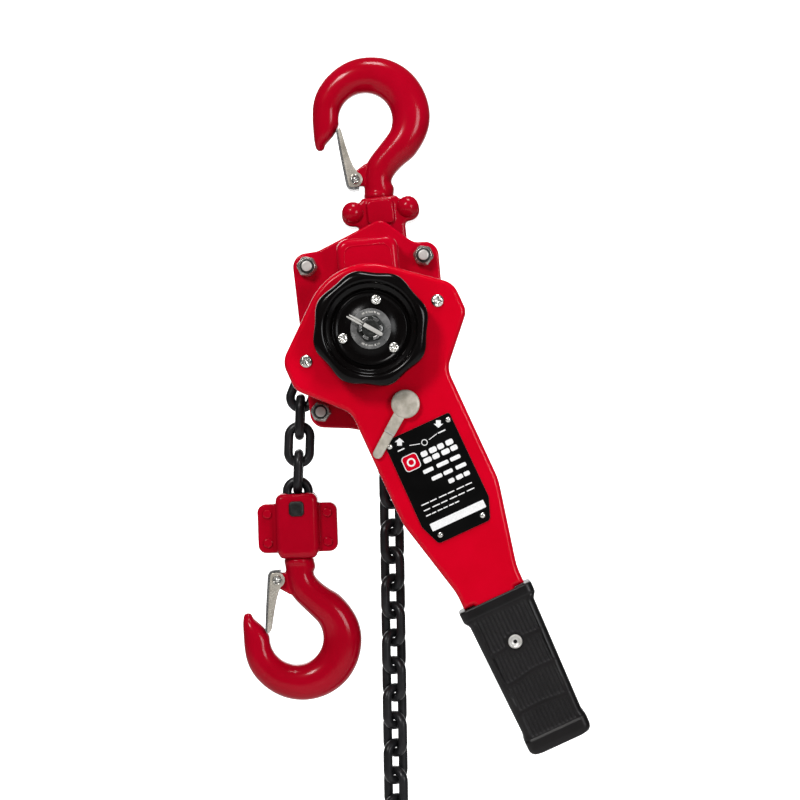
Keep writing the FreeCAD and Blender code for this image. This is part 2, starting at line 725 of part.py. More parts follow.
def gear_cover_corners(inset):
    """Outline of the rear housing, clear of the stay nuts."""
    return mirror_corners([(26.5 - inset, 58.0 - inset, 12.0 - inset / 2), (29.0 - inset, 0.0, 30.0),
                           (26.5 - inset, -58.0 + inset, 12.0 - inset / 2)])


def gear_cover():
    """The rear casting over the gears, with bosses for the outer shaft ends."""
    body = new_body("gear_cover_body")
    base = "plate_gap / 2 + plate + 0.02"
    rear = f"{base} + 3 + gear_cover_rise"
    pad(body, "gear_flange", [round_corners(plate_corners())], f"{base} + 3", "3")
    pad(body, "gear_case", [round_corners(gear_cover_corners(0.0))], rear, "gear_cover_rise")
    soften(body, "gear_case_edges", "7.0", on_plane(rear))
    cavity = [round_corners(gear_cover_corners(2.2))]
    pocket(body, "gear_cavity", cavity, f"{base} + gear_cover_rise", "gear_cover_rise + 1")
    bosses = [(0, 0, "8.0"), (0, value("gear_centres"), "8.0"), (0, -value("gear_centres"), "8.0")]
    pad_discs(body, "gear_bosses", bosses, f"{base} + gear_cover_rise + 0.5", "9.0")
    pocket(body, "gear_boss_bores", [], f"{base} + gear_cover_rise + 0.2", "9.5",
           [(x, z, "4.56") for x, z, _ in bosses])
    holes = [(x, z, "bolt_radius + 0.05") for x, z in bolt_places()]
    pocket(body, "gear_cover_holes", [], f"{base} + 4", "5", holes)
    node(body, "gear_cover", BODY)


def stay_nut(x, z, face, outwards):
    """A hexagon nut on a stay, from its seat face outwards (-1 to the front, 1 to the rear), chamfered outside."""
    height = value("nut_height")
    half_flats = value("nut_flats / 2")
    seat = Vector(x, face, z)
    blank = prism(hexagon(2 * half_flats, 12), max(face, face + outwards * height), height)
    blank.translate(Vector(x, 0, z))
    bore_start = seat.add(Vector(0, -1.5 * height, 0))
    bore = Part.makeCylinder(value("bolt_radius + 0.02"), 3 * height, bore_start, DEPTH_AXIS)
    outer_end = seat.add(Vector(0, outwards * height, 0))
    chamfer = Part.makeCone(half_flats, half_flats + 10, 10, outer_end, Vector(0, -outwards, 0))
    return blank.cut(bore).common(chamfer)


def stays():
    """Stay bolts, the nuts at both ends, and the sleeves that keep the plates apart."""
    front_seat = "-plate_gap / 2 - plate - cover_flange - 0.05"
    rear_seat = "plate_gap / 2 + plate + 3.05"
    rear_end = f"{rear_seat} + nut_height + 2"
    length = f"{rear_end} - ({front_seat}) + nut_height + 2.6"
    bolts, nuts, sleeves = [], [], []
    for i, (x, z) in enumerate(bolt_places()):
        bolts.append(drum(f"stay_{i}", "bolt_radius", rear_end, length, x, z))
        nuts.append(stay_nut(x, z, value(front_seat), -1))
        nuts.append(stay_nut(x, z, value(rear_seat), 1))
        sleeves.append(ring(f"sleeve_{i}", "sleeve_radius", "bolt_radius + 0.05",
                            "plate_gap / 2 - 0.02", "plate_gap - 0.04", x, z))
    node(together("stay_bolt_set", bolts), "stay_bolts", BODY)
    node(feature("nut_set", Part.Compound(nuts)), "stay_nuts", BODY)
    node(together("sleeve_set", sleeves), "spacer_sleeves", BODY)


def small_frame_parts():
    """Suspension pin, sheave bushes, chain stripper and pawl pins."""
    x = value("suspension_x")
    z = value("suspension_z")
    node(drum("suspension_pin_rod", "suspension_pin_radius", "plate_gap / 2 + plate - 0.1",
              "plate_gap + 2 * plate - 0.2", x, z), "suspension_pin", BODY)
    bushes = [ring("rear_bush", "journal_radius + 3", "journal_radius + 0.05", "plate_gap / 2 + plate", "plate"),
              ring("front_bush", "journal_radius + 3", "journal_radius + 0.05", "-plate_gap / 2", "plate")]
    node(together("bush_pair", bushes), "sheave_bushes", BODY)
    pins = [drum(f"pawl_pin_{i}", "3.0", "-plate_gap / 2 - 0.2", "24.2", px, pz)
            for i, (px, pz) in enumerate(pawl_pin_places())]
    node(together("pawl_pin_pair", pins), "pawl_pins", BODY)
    outline = round_corners([(-12.0, -33.0, 1.5), (-7.0, -33.0, 1.5), (-6.0, -53.0, 2.0), (-16.0, -53.0, 2.0)])
    body = new_body("chain_stripper_body")
    pad(body, "stripper_blank", [outline], "3.0", "6.0")
    bar = [round_corners(box_corners(-17.0, -5.5, -56.0, -50.0, 2.0))]
    pad(body, "stripper_bar", bar, "plate_gap / 2 - 0.05", "plate_gap - 0.1")
    node(body, "chain_stripper", BODY)


# ---------------------------------------------------------------- sheave and gears

def gear_shape(teeth, module, back, depth, bore, first_tooth):
    """A spur gear with stub involute teeth. first_tooth is the direction of one tooth, in degrees."""
    pitch = teeth * module / 2
    base = pitch * math.cos(math.radians(20))
    tip = pitch + 0.7 * module
    root = pitch - 1.1 * module
    half_pitch = math.pi / (2 * teeth) - value("backlash") / (2 * pitch)

    def roll_angle(radius):
        if radius <= base:
            return 0.0
        pressure = math.acos(base / radius)
        return math.tan(pressure) - pressure

    def half_angle(radius):
        return half_pitch + roll_angle(pitch) - roll_angle(radius)

    radii = [root] + [max(base, root + 0.01) + (tip - max(base, root + 0.01)) * i / 4 for i in range(5)]

    def point(radius, angle):
        return Vector(radius * math.cos(angle), radius * math.sin(angle), 0)

    edges = []
    step = 2 * math.pi / teeth
    for i in range(teeth):
        middle = math.radians(first_tooth) + i * step
        rising = [point(r, middle - half_angle(r)) for r in radii]
        falling = [point(r, middle + half_angle(r)) for r in reversed(radii)]
        edges.append(Part.makePolygon(rising[:2]).Edges[0])
        flank = Part.BSplineCurve()
        flank.interpolate(rising[1:])
        edges.append(flank.toShape())
        edges.append(Part.Arc(rising[-1], point(tip, middle), falling[0]).toShape())
        flank = Part.BSplineCurve()
        flank.interpolate(falling[:-1])
        edges.append(flank.toShape())
        edges.append(Part.makePolygon(falling[-2:]).Edges[0])
        gap_end = point(root, middle + step - half_angle(root))
        edges.append(Part.Arc(falling[-1], point(root, middle + step / 2), gap_end).toShape())
    face = Part.Face(Part.Wire(edges))
    face.rotate(Vector(0, 0, 0), Vector(1, 0, 0), 90)
    face.translate(Vector(0, back, 0))
    gear = face.extrude(Vector(0, -depth, 0))
    if bore > 0:
        gear = gear.cut(Part.makeCylinder(bore, depth + 2, Vector(0, back - depth - 1, 0), DEPTH_AXIS))
    return gear


def load_sheave():
    """The pocket wheel: a groove for the links that stand, and five pockets for the links that lie."""
    half = "sheave_width / 2"
    wheel = drum("sheave_wheel", "sheave_radius", half, "sheave_width")
    rear_journal = drum("sheave_rear_journal", "journal_radius", "plate_gap / 2 + plate + 0.6", "8")
    spline = drum("sheave_spline", "11.0", "plate_gap / 2 + plate + 9.2", "12")
    front_journal = drum("sheave_front_journal", "journal_radius", "-sheave_width / 2 + 1",
                         "plate_gap / 2 + plate - sheave_width / 2 + 0.6")
    blank = fuse("sheave_blank", [wheel, rear_journal, spline, front_journal])
    tools = [ring("sheave_groove", "sheave_radius + 5", "groove_radius", "groove_width / 2", "groove_width"),
             drum("sheave_bore", "shaft_radius + 0.06", "60", "120")]
    pocket_radius = WRAP_RADIUS * math.cos(math.radians(LYING_ANGLE / 2)) - value("wire_radius + 0.12")
    half_width = value("link_bend_radius + wire_radius + 0.25")
    half_length = value("link_inner_length / 2 + 2 * wire_radius + 0.25")
    wire = Part.Wire(Part.__sortEdges__([edge.toShape() for edge in round_corners(
        box_corners(-half_length, half_length, -half_width, half_width, half_width - 0.3))]))
    cutter = Part.Face(wire).extrude(Vector(0, 0, 20))
    for i in range(POCKETS):
        angle = LEAVE_ANGLE - LYING_ANGLE / 2 + POCKET_ANGLE * i
        turn = Rotation(DEPTH_AXIS, 90 - angle)
        tool = feature(f"sheave_pocket_{i}", cutter)
        tool.Placement = Placement(turn.multVec(Vector(0, 0, pocket_radius)), turn)
        tools.append(tool)
    node(cut("sheave_cut", blank, tools), "load_sheave", CHAIN)


def gear_train():
    """The load gear, two reduction gears with their pinions, and how far apart they stand."""
    load = gear_shape(DIMENSIONS["load_gear_teeth"], value("load_module"), 30.0, 7.8, 11.03, 90.0)
    node(feature("load_gear_blank", load), "load_gear", BODY)
    for name, side in (("a", 1), ("b", -1)):
        wheel = gear_shape(DIMENSIONS["reduction_teeth"], value("pinion_module"), 41.0, 7.0, 0, -84.0)
        pinion = gear_shape(DIMENSIONS["load_pinion_teeth"], value("load_module"), 34.1, 11.9, 0, -72.0)
        stub = Part.makeCylinder(4.0, 6.0, Vector(0, 17.0, 0), DEPTH_AXIS)
        tail = Part.makeCylinder(4.5, 11.0, Vector(0, 40.0, 0), DEPTH_AXIS)
        shape = wheel.fuse([pinion, stub, tail]).removeSplitter()
        shape.translate(Vector(0, 0, side * value("gear_centres")))
        node(feature(f"reduction_{name}", shape), f"reduction_gear_{name}", BODY)


# ---------------------------------------------------------------- drive line

def drive_line():
    """Drive shaft, brake stack, switch gear and handwheel, all on the main axis."""
    pinion = gear_shape(DIMENSIONS["pinion_teeth"], value("pinion_module"), 41.5, 8.0, 0, 90.0)
    shaft = Part.makeCylinder(value("shaft_radius"), 116.5, Vector(0, -82.5, 0), DEPTH_AXIS)
    tail = Part.makeCylinder(4.5, 12.0, Vector(0, 39.0, 0), DEPTH_AXIS)
    front = Part.makeCylinder(5.4, 12.0, Vector(0, -94.0, 0), DEPTH_AXIS)
    eye = Part.makeCylinder(1.65, 30.0, Vector(-15, -91.4, 0), Vector(1, 0, 0))
    eye.rotate(Vector(0, -91.4, 0), DEPTH_AXIS, 29.0 + value("body_tilt"))
    node(feature("drive_shaft_turned", shaft.fuse([pinion, tail, front]).removeSplitter().cut(eye)),
         "drive_shaft", BODY)
    hub = fuse("brake_hub_blank", [drum("brake_hub_flange", "brake_radius", "-24.0", "4.0"),
                                   drum("brake_hub_sleeve", "10.0", "-24.0", "14.2")])
    hub_bore = drum("brake_hub_bore", "shaft_radius + 0.02", "-20", "30")
    node(cut("brake_hub_bored", hub, [hub_bore]), "brake_hub", CHAIN)
    discs = [ring("friction_rear", "brake_radius + 0.5", "10.06", "-28.1", "2.8"),
             ring("friction_front", "brake_radius + 0.5", "10.06", "-35.3", "2.8")]
    node(together("friction_pair", discs), "friction_discs", CHAIN)
    flange = Part.makeCylinder(value("brake_radius"), 3.2, Vector(0, -41.6, 0), DEPTH_AXIS)
    sleeve = Part.makeCylinder(15.5, 13.0, Vector(0, -53.0, 0), DEPTH_AXIS)
    teeth = prism(toothed_outline(value("switch_gear_radius"), 4.0, DIMENSIONS["switch_gear_teeth"]), -52.0, 13.0)
    bore = Part.makeCylinder(value("shaft_radius + 0.02"), 60, Vector(0, -80, 0), DEPTH_AXIS)
    relief = Part.makeCylinder(10.3, 10, Vector(0, -38.5, 0), DEPTH_AXIS)
    node(feature("switch_gear_blank", flange.fuse([sleeve, teeth]).cut([bore, relief])), "switch_gear", CHAIN)


def toothed_outline(radius, depth, teeth):
    """Outline of a wheel with square-shouldered teeth, which a pawl can push either way."""
    edges = []
    step = 2 * math.pi / teeth
    corners = []
    for i in range(teeth):
        middle = i * step + math.radians(90)
        for share, reach in ((-0.31, radius - depth), (-0.20, radius), (0.20, radius), (0.31, radius - depth)):
            turn = middle + share * step
            corners.append(Vector(reach * math.cos(turn), reach * math.sin(turn), 0))
    for i, corner in enumerate(corners):
        edges.append(Part.LineSegment(corner, corners[(i + 1) % len(corners)]))
    return edges


def ratchet_disc():
    """The saw-toothed brake disc that the two pawls hold against lowering."""
    teeth = DIMENSIONS["ratchet_teeth"]
    radius = value("ratchet_radius")
    corners = []
    for i in range(teeth):
        turn = 2 * math.pi * i / teeth
        corners.append(Vector(radius * math.cos(turn), radius * math.sin(turn), 0))
        corners.append(Vector((radius - 4.2) * math.cos(turn), (radius - 4.2) * math.sin(turn), 0))
    edges = [Part.LineSegment(corners[i], corners[(i + 1) % len(corners)]) for i in range(len(corners))]
    disc = prism(edges, -31.3, 3.8)
    bore = Part.makeCylinder(10.1, 20, Vector(0, -45, 0), DEPTH_AXIS)
    node(feature("ratchet_blank", disc.cut(bore)), "ratchet_disc", BODY)


def brake_pawls():
    """Two pawls on the pawl pins, opposite each other, each with its nose at a tooth of the ratchet disc."""
    for name, (x, z), turn in (("a", pawl_pin_places()[0], 0), ("b", pawl_pin_places()[1], 180)):
        outline = round_corners([(6.2, 6.2, 5.9), (-4.0, 6.2, 4.0), (-13.0, -9.0, 1.0), (-7.0, -13.2, 0.8),
                                 (6.2, -6.2, 5.9)])
        blank = prism(outline, -31.4, 3.6)
        blank = blank.cut(Part.makeCylinder(3.05, 20, Vector(0, -45, 0), DEPTH_AXIS))
        blank.rotate(Vector(0, 0, 0), DEPTH_AXIS, -turn)
        blank.translate(Vector(x, 0, z))
        node(feature(f"pawl_{name}", blank), f"brake_pawl_{name}", BODY)


def lobed_outline(radius, rise, lobes, first, steps_per_lobe=6):
    """A closed smooth outline with soft lobes, the first of them at the given angle."""
    points = []
    count = lobes * steps_per_lobe
    for i in range(count):
        turn = 2 * math.pi * i / count
        reach = radius + rise * math.cos(lobes * (turn - math.radians(first)))
        points.append(Vector(reach * math.cos(turn), reach * math.sin(turn), 0))
    curve = Part.BSplineCurve()
    curve.interpolate(Points=points, PeriodicFlag=True)
    return [curve]


def handwheel():
    """The handwheel, its cover disc and the fasteners on the shaft end."""
    body = new_body("handwheel_body")
    outline = lobed_outline(value("handwheel_radius"), value("handwheel_lobe_rise"),
                            DIMENSIONS["handwheel_lobes"], value("handwheel_first_lobe"))
    pad(body, "wheel_blank", [outline], "handwheel_back", "handwheel_width")
    soften(body, "wheel_front_edge", "3.4", on_plane("handwheel_back - handwheel_width"))
    soften(body, "wheel_back_edge", "1.5", on_plane("handwheel_back"))
    recess = [(0, 0, "handwheel_recess_radius")]
    pocket(body, "wheel_recess", [], "handwheel_back - handwheel_width + 9", "12", recess)
    pocket(body, "wheel_bore", [], "handwheel_back + 1", "40", [(0, 0, "shaft_radius + 0.02")])
    rim = value("handwheel_recess_radius + 0.5")
    soften(body, "wheel_recess_edge", "0.8", lambda edge: on_plane("handwheel_back - handwheel_width")(edge)
           and edge.BoundBox.XMax < rim)
    node(body, "handwheel", CHAIN)
    face = "handwheel_back - handwheel_width + 8.9"
    disc = ring("wheel_disc", "cover_disc_radius", "5.6", face, "2.2")
    screw_holes = [drum(f"disc_hole_{i}", "2.05", f"{face} + 1", "5", *place)
                   for i, place in enumerate(screw_places())]
    node(cut("wheel_disc_drilled", disc, screw_holes), "handwheel_cover", CHAIN)
    screws = []
    for i, place in enumerate(screw_places()):
        head = drum(f"wheel_screw_head_{i}", "3.35", f"{face} - 2.25", "1.9", *place)
        shank = drum(f"wheel_screw_shank_{i}", "2.0", f"{face} - 0.1", "4.0", *place)
        slot = doc.addObject("Part::Box", f"wheel_screw_slot_{i}")
        bind(slot, Length="8", Width="1.2", Height="1.1")
        slot.Placement = Placement(Vector(place[0] - 4, value(f"{face} - 4.4"), place[1] - 0.55), Rotation())
        screws.append(cut(f"wheel_screw_{i}", fuse(f"wheel_screw_solid_{i}", [head, shank]), [slot]))
    node(together("wheel_screw_set", screws), "handwheel_screws", CHAIN)
    node(ring("washer_ring", "12.6", "5.6", f"{face} - 2.25", "1.1"), "marked_washer", CHAIN)
    nut = prism(hexagon(16.0, 10), value(f"{face} - 3.4"), 3.4)
    crown = Part.makeCylinder(7.4, 3.7, Vector(0, value(f"{face} - 10.4"), 0), DEPTH_AXIS)
    castle = nut.fuse(crown).cut(Part.makeCylinder(5.45, 40, Vector(0, -110, 0), DEPTH_AXIS))
    for i in range(3):
        slot = Part.makeBox(24, 3.6, 3.6, Vector(-12, value(f"{face} - 10.8"), -1.8))
        slot.rotate(Vector(0, 0, 0), DEPTH_AXIS, 29 + 60 * i)
        castle = castle.cut(slot)
    node(feature("castle_nut_blank", castle), "castle_nut", CHAIN)
    stem = Part.makeCylinder(1.5, 26.0, Vector(-16.5, -91.4, 0), Vector(1, 0, 0))
    leg = Part.makeCylinder(1.2, 5.0, Vector(8.4, -91.4, 0), Vector(0.25, 0.0, -0.95))
    pin = stem.fuse(leg)
    pin.rotate(Vector(0, -91.4, 0), DEPTH_AXIS, 29.0)
    node(feature("split_pin_bent", pin), "split_pin", CHAIN)


def screw_places():
    """The three screws of the handwheel cover."""
    circle = value("screw_circle")
    return [(circle * math.cos(math.radians(a)), circle * math.sin(math.radians(a))) for a in (80, 199, -39)]


# ---------------------------------------------------------------- lever

def lever_outline(inset):
    """Outline of the lever shells: a round head with two lobes, a neck, and a tang inside the grip."""
    slope = 0.8333
    peak = 54.1 - inset * 1.3
    extreme = value("lobe_extreme") - inset
    neck = value("neck_half_width") - inset
    tang = value("tang_half_width") - inset
    return round_corners(mirror_corners([
        (0, peak, value("lever_head_radius") - inset), (extreme, peak - extreme * slope, 13.5 - inset),
        (extreme, -14.5 + inset, 9.5 - inset), (neck, -42.0, 14.0 + inset), (neck, value("-neck_end"), 40.0),
        (20.6 - inset, -172.0, 40.0), (20.6 - inset, value("-grip_start + 0.5"), 0.5),
        (tang, value("-grip_start + 0.5"), 0.5), (tang, value("-grip_end + 12") + inset, 4.0),
    ]))


def lever_shells():
    """Two pressed shells, hollow round the switch gear and its pawl."""
    depth = "lever_half - lever_wall + 1"
    for name, back in (("lever_rear_shell", "lever_back"), ("lever_front_shell", "lever_back - lever_half - 0.1")):
        rear = name == "lever_rear_shell"
        body = new_body(name + "_body")
        pad(body, name + "_blank", [lever_outline(0.0)], back, "lever_half")
        outer = back if rear else f"({back}) - lever_half"
        soften(body, name + "_edges", "3.2", lambda edge, level=outer: on_plane(level)(edge)
               and edge.BoundBox.ZMin > value("-grip_start"))
        start = f"({back}) - lever_wall" if rear else f"({back}) + 1"
        head = mirror_corners([(0, 52.0, 38.0), (38.0, 17.0, 12.0), (36.5, -20.0, 12.0), (30.2, -38.0, 5.0),
                               (30.2, -112.0, 12.0)])
        pocket(body, name + "_hollow", [round_corners(head)], start, depth)
        tube = mirror_corners([(24.0, -118.0, 4.0), (10.0, -166.0, 6.0), (10.0, -262.0, 4.0)])
        pocket(body, name + "_grip_hollow", [round_corners(tube)], start, depth)
        radius = "15.56" if rear else "12.0"
        holes = [(0, 0, radius), (value("lobe_x"), -1, "2.55"), (-value("lobe_x"), -1, "2.55"),
                 (0, -213.7, "2.55")]
        if not rear:
            holes.append((0, -value("selector_drop"), "4.05"))
            holes += [(x, z, "1.25") for x, z in plate_rivet_places()]
        pocket(body, name + "_holes", [], "lever_back + 1", "lever_half * 2 + 3", holes)
        node(body, name, LEVER)


def plate_rivet_places():
    return [(20.0, -71.0), (-20.0, -71.0), (14.5, -134.0), (-14.5, -134.0)]


def lever_fasteners():
    """Screws through the lobes, and the screw that holds the grip."""
    front = "lever_back - 2 * lever_half - 0.1"
    screws = []
    for side in (-1, 1):
        x = side * value("lobe_x")
        head = drum(f"lobe_head_{side + 1}", "4.0", f"({front}) - 0.02", "2.2", x, -1)
        shank = drum(f"lobe_shank_{side + 1}", "2.5", f"({front}) + 20.0", "20.2", x, -1)
        slot = doc.addObject("Part::Box", f"lobe_slot_{side + 1}")
        bind(slot, Length="9", Width="1.2", Height="1.2")
        slot.Placement = Placement(Vector(x - 4.5, value(f"({front}) - 2.9"), -1.6), Rotation())
        screws.append(cut(f"lobe_screw_{side + 1}", fuse(f"lobe_screw_solid_{side + 1}", [head, shank]), [slot]))
    head = drum("grip_screw_head", "4.4", "-70.65", "1.7", 0, -213.7)
    shank = drum("grip_screw_shank", "2.5", "-52.0", "21.0", 0, -213.7)
    slot = doc.addObject("Part::Box", "grip_screw_slot")
    bind(slot, Length="10", Width="1.2", Height="1.2")
    slot.Placement = Placement(Vector(-5, -73.0, -214.3), Rotation())
    screws.append(cut("grip_screw", fuse("grip_screw_solid", [head, shank]), [slot]))
    node(together("lever_screw_set", screws), "lever_screws", LEVER)


def grip():
    """The moulded grip over the tang, flared at both ends."""
    body = new_body("lever_grip_body")
    start = value("grip_start")
    end = value("grip_end")
    outline = mirror_corners([
        (24.5, -start, 2.0), (24.5, -start - 8.0, 2.0), (22.0, -start - 12.0, 6.0), (20.0, -end + 20.0, 40.0),
        (21.9, -end + 12.0, 3.0), (21.9, -end, 7.0),
    ])
    half = value("lever_back - lever_half")
    pad(body, "grip_blank", [round_corners(outline)], f"{half} + grip_depth / 2", "grip_depth")
    for level in (f"{half} + grip_depth / 2", f"{half} - grip_depth / 2"):
        soften(body, "grip_edges", "6.0", on_plane(level))
    socket = [round_corners(box_corners(-14.1, 14.1, -end + 11.8, -start + 3.0, 3.0))]
    pocket(body, "grip_socket", socket, "lever_back + 0.1", "2 * lever_half + 0.3")
    pocket(body, "grip_screw_hole", [], f"{half}", "30", [(0, -213.7, "2.6")])
    pocket(body, "grip_screw_seat", [], "-70.6", "5", [(0, -213.7, "4.6")])
    node(body, "lever_grip", LEVER)


def rating_plate():
    """The thin plate on the lever's front, with its four drive rivets."""
    face = "lever_back - 2 * lever_half - 0.12"
    body = new_body("rating_plate_body")
    outline = mirror_corners([(22.5, -67.0, 1.5), (22.9, -125.0, 3.0), (17.6, -138.6, 3.0)])
    pad(body, "plate_blank", [round_corners(outline)], face, "0.8")
    holes = [(x, z, "1.25") for x, z in plate_rivet_places()]
    pocket(body, "plate_holes", [], f"{face} + 1", "3", holes)
    node(body, "rating_plate", LEVER)
    rivets = []
    for i, (x, z) in enumerate(plate_rivet_places()):
        head = drum(f"plate_rivet_head_{i}", "1.9", f"{face} - 0.82", "0.8", x, z)
        stem = drum(f"plate_rivet_stem_{i}", "1.2", f"{face} + 2.0", "2.9", x, z)
        rivets.append(fuse(f"plate_rivet_{i}", [head, stem]))
    node(together("plate_rivet_set", rivets), "plate_rivets", LEVER)


def selector():
    """The selector lever outside the shell and the double pawl that it turns inside."""
    drop = value("selector_drop")
    angle = math.radians(value("selector_angle"))
    reach = value("selector_reach")
    front = value("lever_back - 2 * lever_half - 0.1")
    head = Part.makeCylinder(9.0, 4.6, Vector(0, front - 4.8, 0), DEPTH_AXIS)
    hub = Part.makeCylinder(4.0, 18.0, Vector(0, front - 1.0, 0), DEPTH_AXIS)
    arm = prism(round_corners([(-4.0, -2.0, 1.0), (4.0, -2.0, 1.0), (3.1, -reach - 3.1, 3.0),
                               (-3.1, -reach - 3.1, 3.0)]), front - 1.9, 2.9)
    arm.rotate(Vector(0, 0, 0), DEPTH_AXIS, math.degrees(angle))
    shape = head.fuse([hub, arm]).removeSplitter()
    shape.translate(Vector(0, 0, -drop))
    node(feature("selector_cast", shape), "selector_lever", LEVER)
    horn = drop - value("switch_gear_radius") - 0.6
    blade = [(-2.2, horn, 0.6), (2.2, horn, 0.6), (5.0, 5.0, 0.0), (5.0, -4.0, 0.0), (-5.0, -4.0, 0.0),
             (-5.0, 5.0, 0.0)]
    horns = []
    for turn in (0.0, -2 * value("selector_angle")):
        piece = prism(round_corners(blade), -53.6, 9.0)
        piece.rotate(Vector(0, 0, 0), DEPTH_AXIS, turn)
        horns.append(piece)
    boss = Part.makeCylinder(8.0, 9.0, Vector(0, -62.6, 0), DEPTH_AXIS)
    pawl = horns[0].fuse([horns[1], boss]).removeSplitter()
    pawl = pawl.cut(Part.makeCylinder(4.02, 30, Vector(0, -70, 0), DEPTH_AXIS))
    pawl.translate(Vector(0, 0, -drop))
    node(feature("switch_pawl_blank", pawl), "switch_pawl", LEVER)


# ---------------------------------------------------------------- bottom block

def bottom_block():
    """Two yoke halves riveted round the hook's shank, with the pin that carries the last link."""
    top = 10.0
    low = 9.6 - value("block_height")
    flange_top = 3.2
    flange_low = flange_top - value("flange_height")
    rivet_places = [(side * 19.6, z) for side in (-1, 1) for z in (flange_top - 6.4, flange_low + 6.6)]
    barrel = mirror_corners([(value("block_half_width"), top, 5.0), (value("block_half_width"), low + 5.0, 3.0),
                             (value("block_half_width") - 2.5, low, 3.0)])
    wings = box_corners(value("-flange_half_width"), value("flange_half_width"), flange_low, flange_top, 5.4)
    for name, rear in (("bottom_yoke_rear", True), ("bottom_yoke_front", False)):
        body = new_body(name + "_body")
        back = "13.0" if rear else "-0.05"
        wing_back = "5.0" if rear else "-0.05"
        pad(body, name + "_barrel", [round_corners(barrel)], back, "12.95")
        soften(body, name + "_barrel_edges", "4.0", on_plane("13.0" if rear else "-13.0"))
        pad(body, name + "_wings", [round_corners(wings)], wing_back, "4.95")
        holes = [(x, z, "2.05") for x, z in rivet_places] + [(0, 0, "chain_pin_radius + 0.03")]
        pocket(body, name + "_holes", [], "14", "30", holes)
        slot = [round_corners(box_corners(-11.8, 11.8, -10.4, 14.0, 1.0))]
        pocket(body, name + "_chain_slot", slot, "3.7", "7.4")
        end_room = [round_corners(box_corners(-6.0, 6.0, 6.0, 14.0, 1.0))]
        pocket(body, name + "_end_room", end_room, "10.3", "20.6")
        nut_room = [round_corners(box_corners(-12.0, 12.0, -28.4, -16.6, 1.0))]
        pocket(body, name + "_nut_room", nut_room, "11.8", "23.6")
        bore = doc.addObject("Part::Cylinder", name + "_shank_bore")
        bind(bore, Radius="shank_radius + 0.06", Height="30")
        bore.Placement = Placement(Vector(0, 0, low - 8), Rotation())
        node(cut(name + "_bored", body, [bore]), name, BLOCK)
    rivets = []
    for i, (x, z) in enumerate(rivet_places):
        stem = drum(f"block_rivet_stem_{i}", "2.0", "5.2", "10.4", x, z)
        front = drum(f"block_rivet_front_{i}", "3.0", "-5.05", "1.3", x, z)
        rear = drum(f"block_rivet_rear_{i}", "3.0", "6.35", "1.3", x, z)
        rivets.append(fuse(f"block_rivet_{i}", [stem, front, rear]))
    node(together("block_rivet_set", rivets), "bottom_yoke_rivets", BLOCK)
    node(drum("chain_pin_rod", "chain_pin_radius", "12.6", "25.2"), "chain_pin", BLOCK)


# ---------------------------------------------------------------- build, check and write

chain()
end_ring()
hook_set("top", HOOK)
hook_set("bottom", BOTTOM_HOOK)
top_yoke()
side_plates()
brake_cover()
gear_cover()
stays()
small_frame_parts()
load_sheave()
gear_train()
drive_line()
ratchet_disc()
brake_pawls()
handwheel()
lever_shells()
lever_fasteners()
grip()
rating_plate()
selector()
bottom_block()
doc.recompute()

for obj in doc.Objects:
    if "Invalid" in obj.State or "Error" in obj.State:
        raise RuntimeError(f"{obj.Name} ({obj.Label}) failed: {obj.State}")
for obj in NODES:
    if obj.Shape.isNull() or not obj.Shape.isValid() or not obj.Shape.Solids:
        raise RuntimeError(f"{obj.Label} has no valid solid")
    obj.Shape.exportStep(f"parts/{obj.Label}.step")
print(f"{len(NODES)} nodes, shaft at {SHAFT}, leave angle {LEAVE_ANGLE:.2f}")
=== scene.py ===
import json
import math
import bmesh
import bpy
from mathutils import Matrix, Vector

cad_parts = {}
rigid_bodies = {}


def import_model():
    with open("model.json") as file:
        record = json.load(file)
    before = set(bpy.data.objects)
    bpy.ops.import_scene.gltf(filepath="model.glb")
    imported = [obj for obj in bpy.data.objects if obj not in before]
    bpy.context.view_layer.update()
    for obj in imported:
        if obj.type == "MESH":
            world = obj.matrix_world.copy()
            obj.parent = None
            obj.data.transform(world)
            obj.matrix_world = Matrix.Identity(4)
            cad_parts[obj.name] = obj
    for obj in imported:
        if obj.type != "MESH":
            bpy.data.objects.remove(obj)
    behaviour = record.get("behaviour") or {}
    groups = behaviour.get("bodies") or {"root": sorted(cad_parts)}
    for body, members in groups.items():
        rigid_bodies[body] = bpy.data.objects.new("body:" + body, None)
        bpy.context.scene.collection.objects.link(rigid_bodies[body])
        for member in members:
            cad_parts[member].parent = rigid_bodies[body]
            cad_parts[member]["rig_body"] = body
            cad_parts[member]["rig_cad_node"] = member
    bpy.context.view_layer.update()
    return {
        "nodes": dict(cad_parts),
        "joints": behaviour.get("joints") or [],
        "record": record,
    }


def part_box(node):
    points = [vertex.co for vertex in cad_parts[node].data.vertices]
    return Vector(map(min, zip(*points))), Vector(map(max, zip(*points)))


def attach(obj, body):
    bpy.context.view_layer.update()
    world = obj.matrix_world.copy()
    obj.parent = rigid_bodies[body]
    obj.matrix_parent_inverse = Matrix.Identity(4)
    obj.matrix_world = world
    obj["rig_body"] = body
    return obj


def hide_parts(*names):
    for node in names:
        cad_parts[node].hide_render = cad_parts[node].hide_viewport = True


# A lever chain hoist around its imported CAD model. Pieces are drawn in millimetres in the axes of the group
# they belong to (x right, z up, -y towards the handwheel side) and baked into the row frame in metres.

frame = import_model()
NODES = frame["nodes"]
JOINTS = {joint["name"]: joint for joint in frame["joints"]}
MOUNTS = {mount["name"]: mount for mount in frame["record"]["mounts"]}


# ---------------------------------------------------------------- groups

def group(origin, up):
    """Matrix of a group from its origin and its up direction, both in the row frame."""
    tilt = math.atan2(-up[0], up[2])
    return Matrix.Translation(Vector(origin)) @ Matrix.Rotation(-tilt, 4, "Y") @ Matrix.Scale(0.001, 4)


def direction(start, end):
    return Vector(end) - Vector(start)


